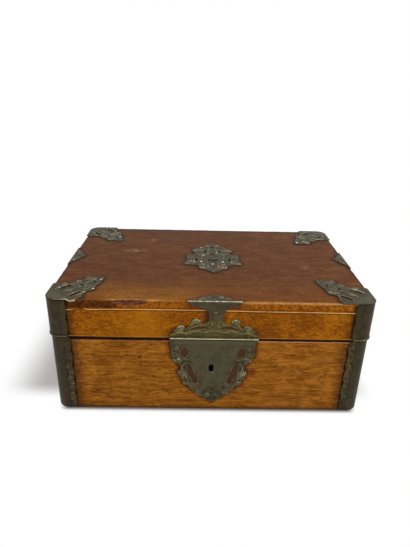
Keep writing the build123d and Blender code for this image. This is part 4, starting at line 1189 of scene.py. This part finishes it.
def board_grime_and_shade(vertices):
    """Dirt beside the mounts, and dirt with painted shade along the back arris and at both ends of the top
    board.
    """
    spots = vertices[:, :2]
    dirt = np.full(len(vertices), far_off)
    folded_leaf = both_sides(edge_points[:6], edge_bulges[:5])
    loops = [cartouche_outline + (cartouche_x, 0),
             folded_leaf + (front_mount_x + edge_mount_shift, -lid_half_y)]
    for side_x, side_y in quarters:
        loops.append((side_x, side_y) * ((mount_half_x, mount_half_y) - leaf_outer))
    for side in (-1, 1):
        loops.append(np.stack([side * (149.6 - folded_leaf[:, 1]), side_mount_y + folded_leaf[:, 0]], -1))
    for loop in loops:
        dirt = np.minimum(dirt, np.where(inside(spots, loop), 0, path_distance(spots, loop, True)))
    broken = fractal(spots, 5.0, 97)
    dirt_share = np.clip(1 - (dirt + broken) / 4.6, 0, 1) * (vertices[:, 2] > 119.7)
    upper = smoothstep(vertices[:, 2], 117.6, 119.4)
    # Painted shade: back and ends darken the rounded back and end arrises, which stand for shadowed edges,
    # with some dirt.
    back = upper * smoothstep(spots[:, 1] + broken, 93.5, 97.5)
    ends = upper * smoothstep(np.abs(spots[:, 0]) + 0.6 * broken, 145.2, 147.6)
    return np.maximum.reduce([dirt_share, back, ends])


def worn_top_board():
    insets = (0, 0, 0, 0, 0, 0, 0, 0, 0.05, 0.2, 0.5, 1.0, 1.7, 2.5, 3.4, 4.6)
    levels = (112, 112.8, 113.6, 114.4, 115.2, 116, 117, 118, 118.8, 119.3, 119.65, 119.86, 119.96,
              120, 120, 120)
    # lights and low_lights give the painted highlight along the front arris, ring by ring: higher on the
    # left, lower on the right.
    lights = (0, 0, 0, 0, 0, 0, 0, 0, 0, 0.25, 0.8, 1.0, 0.8, 0.25, 0, 0)
    low_lights = (0, 0, 0, 0, 0, 0, 0, 0.2, 0.7, 0.8, 0.8, 0.5, 0.2, 0, 0, 0)
    rings = [rounded_edge(inset) for inset in insets]
    count = len(rings[0])
    wavy, fine = fractal(rings[0], 9.0, 91), fractal(rings[0], 2.2, 92)
    x = rings[0][:, 0]
    off = np.clip(np.abs(x - chip_middle) / chip_half, 0, 1)
    front = smoothstep(rings[0][:, 1], -98, -100.4)
    lost = front * chip_most * (1 - off**2.4) * (0.9 + 0.22 * fine)
    lost = np.where(off < 1, np.clip(lost, 0, chip_limit), 0)
    first = 113.7 + 2.2 * off + 0.35 * fine
    rough = front * smoothstep(x, -128, -120) * smoothstep(x, -50, -58)
    notch = rough * np.clip(fine - 0.1, 0, 1) * 0.9
    points, bare, arris = [], [], []
    for inset, level, light, low_light, ring in zip(insets, levels, lights, low_lights, rings):
        high = smoothstep(level, 113.0, 118.5)
        towards = np.where(front[:, None] > 0.5, np.array([[0.0, 1.0]]),
                           -ring / np.linalg.norm(ring, axis=1)[:, None])
        soft = (0.16 + 0.12 * wavy) * high * (inset < 2.6)
        broken = np.clip(lost * smoothstep(level, first, first + 2.2), 0, None)
        push = np.clip(np.maximum(soft + notch * high * (inset < 1.2), broken - inset), 0, None)
        moved = ring + towards * push[:, None]
        drop = 0.14 * (1 + wavy) * (118.5 < level) * (inset < 2.6)
        points.append(np.column_stack([moved, level - drop]))
        bare.append(np.clip((broken - inset - 0.15) / 0.4, 0, 1) * (level > 113.4) * (level < 119.9))
        seen = np.interp(x, (-97, -86, -50, -44, -26, -20), (0, 1, 1, 0.35, 0.1, 0))
        arris.append(front * (light * seen + low_light * smoothstep(x, 22, 30)))
    sides = np.vstack(points)
    inner = points[-1][:, :2]
    grid = np.stack(np.meshgrid(np.arange(-143, 143.1, 2.6), np.arange(-95, 95.1, 2.6)), -1).reshape(-1, 2)
    grid = grid[inside(grid, inner)]
    grid = grid[path_distance(grid, inner, True) > 1.4]
    flat, faces, place_of = triangles([inner], grid.tolist())
    base = len(sides)
    start = (len(insets) - 1) * count
    target = np.full(len(flat), -1)
    for old, new in place_of.items():
        if old < count:
            target[new] = start + old
    fresh = np.where(target < 0)[0]
    target[fresh] = base + np.arange(len(fresh))
    sag = 0.12 * fractal(flat[fresh], 60.0, 95, 2)
    vertices = np.vstack([sides, np.column_stack([flat[fresh], 119.93 + np.clip(sag, -0.2, 0.05)])])
    all_faces = target[faces].tolist()
    for ring in range(len(insets) - 1):
        for i in range(count):
            a, b = ring * count + i, ring * count + (i + 1) % count
            all_faces.append((a, b, b + count, a + count))
    all_faces.append(tuple(range(count))[::-1])
    zeros = np.zeros(len(fresh))
    return make_object("worn_top_board", vertices, all_faces, {
        "grime": board_grime_and_shade(vertices),
        "bare": np.concatenate(bare + [zeros]),
        "arris": np.concatenate(arris + [zeros]),
    }, sharp=50)


finish_piece(worn_top_board(), top_wood, "lid", "lid_top_board")


# ---- Nails and screws ----
def nails(name, places, body, radius=0.95, dome=0.45, shine=0.35, material=patina):
    """Small domed heads: each place is a point on the sheet and the way out from it."""
    vertices, faces, relief = [], [], []
    profile = ((1.0, -0.3), (1.0, 0.05), (0.86, 0.5), (0.55, 0.86), (0.25, 0.98))
    for number, (spot, out) in enumerate(places):
        out = Vector(out).normalized()
        one = out.orthogonal().normalized()
        two = out.cross(one)
        size = radius * (1 + 0.12 * math.sin(number * 2.4))
        first = len(vertices)
        for ring, (share, lift) in enumerate(profile):
            for step in range(12):
                angle = step * math.pi / 6
                point = Vector(spot) + (one * math.cos(angle) + two * math.sin(angle)) * size * share
                vertices.append(tuple(point + out * lift * dome))
                relief.append(0.25 + shine * ring / 3)
        vertices.append(tuple(Vector(spot) + out * dome))
        relief.append(0.25 + 1.5 * shine)
        for ring in range(4):
            for step in range(12):
                a, b = first + ring * 12 + step, first + ring * 12 + (step + 1) % 12
                faces.append((a, b, b + 12, a + 12))
        for step in range(12):
            faces.append((first + 48 + step, first + 48 + (step + 1) % 12, first + 60))
        faces.append(tuple(first + step for step in range(12))[::-1])
    piece = make_object(name, vertices, faces, {"relief": relief, "field": np.zeros(len(relief))})
    finish_piece(piece, material, body)


def on_leaf(side_x, side_y, p, q):
    """Place of a nail on a corner leaf, p and q millimetres in from the lid's sides."""
    return (side_x * (mount_half_x - p), side_y * (mount_half_y - q), 120.5), up


def round_upright(side_x, side_y, half_x, half_y, z):
    """Places of two nails on a corner mount, one on each of its arms."""
    return [((side_x * (half_x - 17), side_y * half_y, z), (0, side_y, 0)),
            ((side_x * half_x, side_y * (half_y - 17), z), (side_x, 0, 0))]


up = (0, 0, 1)
# Nails with a shine of 1 or more get bare-colour heads, a painted glint.
cartouche_nails = [((cartouche_x + u, v, 120.5), up) for u, v in ((-12.7, -8.5), (10.5, -9), (-0.4, -15.5))]
nails("cartouche_nails", cartouche_nails, "lid", 1.5, 0.46, 1.0, nail_brass)
bright_nails = [(-1, 1, 41.5, 36.0), (1, 1, 15.9, 31.0), (-1, -1, 8.6, 24.2),
                (-1, -1, 40.0, 22.5), (-1, -1, 43.4, 43.5), (-1, -1, 33.4, 15.6)]
nails("bright_leaf_nails", [on_leaf(*place) for place in bright_nails], "lid", 1.15, 0.45, 1.05, nail_brass)
# Painted glint on one nail head on the back-right leaf.
nails("glinting_leaf_nail", [((106.2, 56.2, 120.4), up)], "lid", 1.6, 0.6, 1.7, nail_brass)
lid_nails, body_nails = [], []
for side_x, side_y in quarters:
    lid_nails += [on_leaf(side_x, side_y, p, q) for p, q in ((6, 30), (30, 5), (40, 34), (31, 45))]
    for z in (89, 102, 114):
        lid_nails += round_upright(side_x, side_y, 149.6, 101.6, z)
    for z in (6, 23, 41, 58, 74):
        body_nails += round_upright(side_x, side_y, 148.6, 100.6, z)
for u, v in ((35.5, 90.6), (-34.2, 90.6), (19.2, 99), (-17.4, 99)):
    lid_nails.append(((front_mount_x + u, -101.6, v), (0, -1, 0)))
for u, v in ((35, 72), (-35, 72), (30.5, 43), (-30.5, 43), (0, 13)):
    body_nails.append(((front_mount_x + u, -100.6, v), (0, -1, 0)))
nails("lid_mount_nails", lid_nails, "lid", 0.75, 0.38)
nails("body_mount_nails", body_nails, "carcase", 0.75, 0.38)
for name, body, level, way in (("lower", "carcase", seam - 0.1, 1), ("upper", "lid", seam + 0.1, -1)):
    screws = [((side * 90 + x, 92.2, level), (0, 0, way)) for side in (-1, 1) for x in (-13, 0, 13)]
    nails(name + "_hinge_screws", screws, body, 1.5, 0.07, 0.1, lock_iron)
plate_screws = [((lock_x + x, -88, z), (0, 1, 0)) for x in (-22.5, 22.5) for z in (45.5, 76)]
nails("lock_plate_screws", plate_screws, "carcase", 1.6, 0.5, 0.2, lock_iron)

# ---- Floor, light and camera ----
floor_mesh = bpy.data.meshes.new("floor")
floor_corners = [(6 * x, 6 * y, -0.0002) for x, y in ((-1, -1), (1, -1), (1, 1), (-1, 1))]
floor_mesh.from_pydata(floor_corners, [], [(0, 1, 2, 3)])
floor = place_in_scene("floor", floor_mesh)
floor_material, n, floor_shader, floor_spot = new_material("pale paper")
floor_tone = n.cloud(floor_spot, 0.003, 2.0)
floor_shader.inputs["Roughness"].default_value = 0.9
floor_shader.inputs["Specular IOR Level"].default_value = 0.0
floor_x, floor_y, _ = axes(n, floor_spot)
near_box = n.times(n.between(floor_x, -225, -170), n.between(floor_x, 176, 156),
                   n.times(n.between(floor_y, -90, -62), n.between(floor_y, 190, 120)))
past_x = n.largest(n.minus(n.size(floor_x), 140.0), 0.0)
past_y = n.largest(n.minus(n.size(floor_y), 92.0), 0.0)
away = n.minus(n.maths("SQRT", n.times_plus(past_x, past_x, n.times(past_y, past_y))), 8.5)
contact = n.times(n.between(away, 0.5, 7.0, 1.0, 0.0), n.between(n.size(floor_x), 150, 138))
paper = n.blend(floor_tone, (246, 246, 247), (252, 252, 252))
# Painted contact shadow: the floor's colour darkens within about 5 mm of the box's footprint.
n.feed(floor_shader.inputs["Base Color"], n.blend(n.between(away, 0.0, 5.0, 0.8, 0.0), paper, (70, 66, 62)))
plain_white = n.add("Emission", Color=(255, 255, 255), Strength=1.0)
mixed = n.add("MixShader")
no_shadow = n.minus(1.0, n.largest(near_box, contact))
white_share = n.times(white_rays(n), no_shadow)
for number, value in enumerate((white_share, floor_shader.outputs[0], plain_white.outputs[0])):
    n.feed(mixed.inputs[number], value)
n.feed(floor_material.node_tree.nodes["Material Output"].inputs["Surface"], mixed.outputs[0])
floor.data.materials.append(floor_material)

world = bpy.data.worlds.new("studio")
bpy.context.scene.world = world
world.use_nodes = True
n = Nodes(world.node_tree)
background = world.node_tree.nodes["Background"]
n.feed(background.inputs["Color"], (255, 255, 255))
n.feed(background.inputs["Strength"], n.between(white_rays(n), 0.0, 1.0, 0.5, 1.0, curve="LINEAR"))


def lamp(name, place, aim, size, power):
    data = bpy.data.lights.new(name, "AREA")
    data.shape = "RECTANGLE"
    data.size, data.size_y = size
    data.energy = power
    made = place_in_scene(name, data)
    made.location = place
    made.rotation_euler = (Vector(aim) - Vector(place)).to_track_quat("-Z", "Y").to_euler()


lamp("soft_box_right", (1.3, -0.62, 1.12), (0, 0, 0.05), (0.8, 0.8), 16.5)
lamp("soft_box_front", (-0.5, -1.6, 0.9), (0, 0, 0.06), (1.2, 0.8), 6)
lamp("soft_box_back", (0.1, 1.1, 1.2), (0, 0, 0.1), (1.4, 0.6), 2.5)

camera_data = bpy.data.cameras.new("camera")
camera_data.lens = 29.85
camera_data.sensor_width = 36.0
camera = place_in_scene("camera", camera_data)
bpy.context.scene.camera = camera
camera.location = (-0.0133, -0.4594, 0.3058)
pitch, yaw, roll = math.radians(23.84), math.radians(1.05), math.radians(1.40)
ahead = Vector((math.sin(yaw) * math.cos(pitch), math.cos(yaw) * math.cos(pitch), -math.sin(pitch)))
right = Vector((math.cos(yaw), -math.sin(yaw), 0))
level_up = right.cross(ahead)
across = math.cos(roll) * right + math.sin(roll) * level_up
upward = -math.sin(roll) * right + math.cos(roll) * level_up
camera.rotation_mode = "QUATERNION"
camera.rotation_quaternion = Matrix((across, upward, -ahead)).transposed().to_quaternion()

bpy.context.scene.view_settings.view_transform = "Standard"
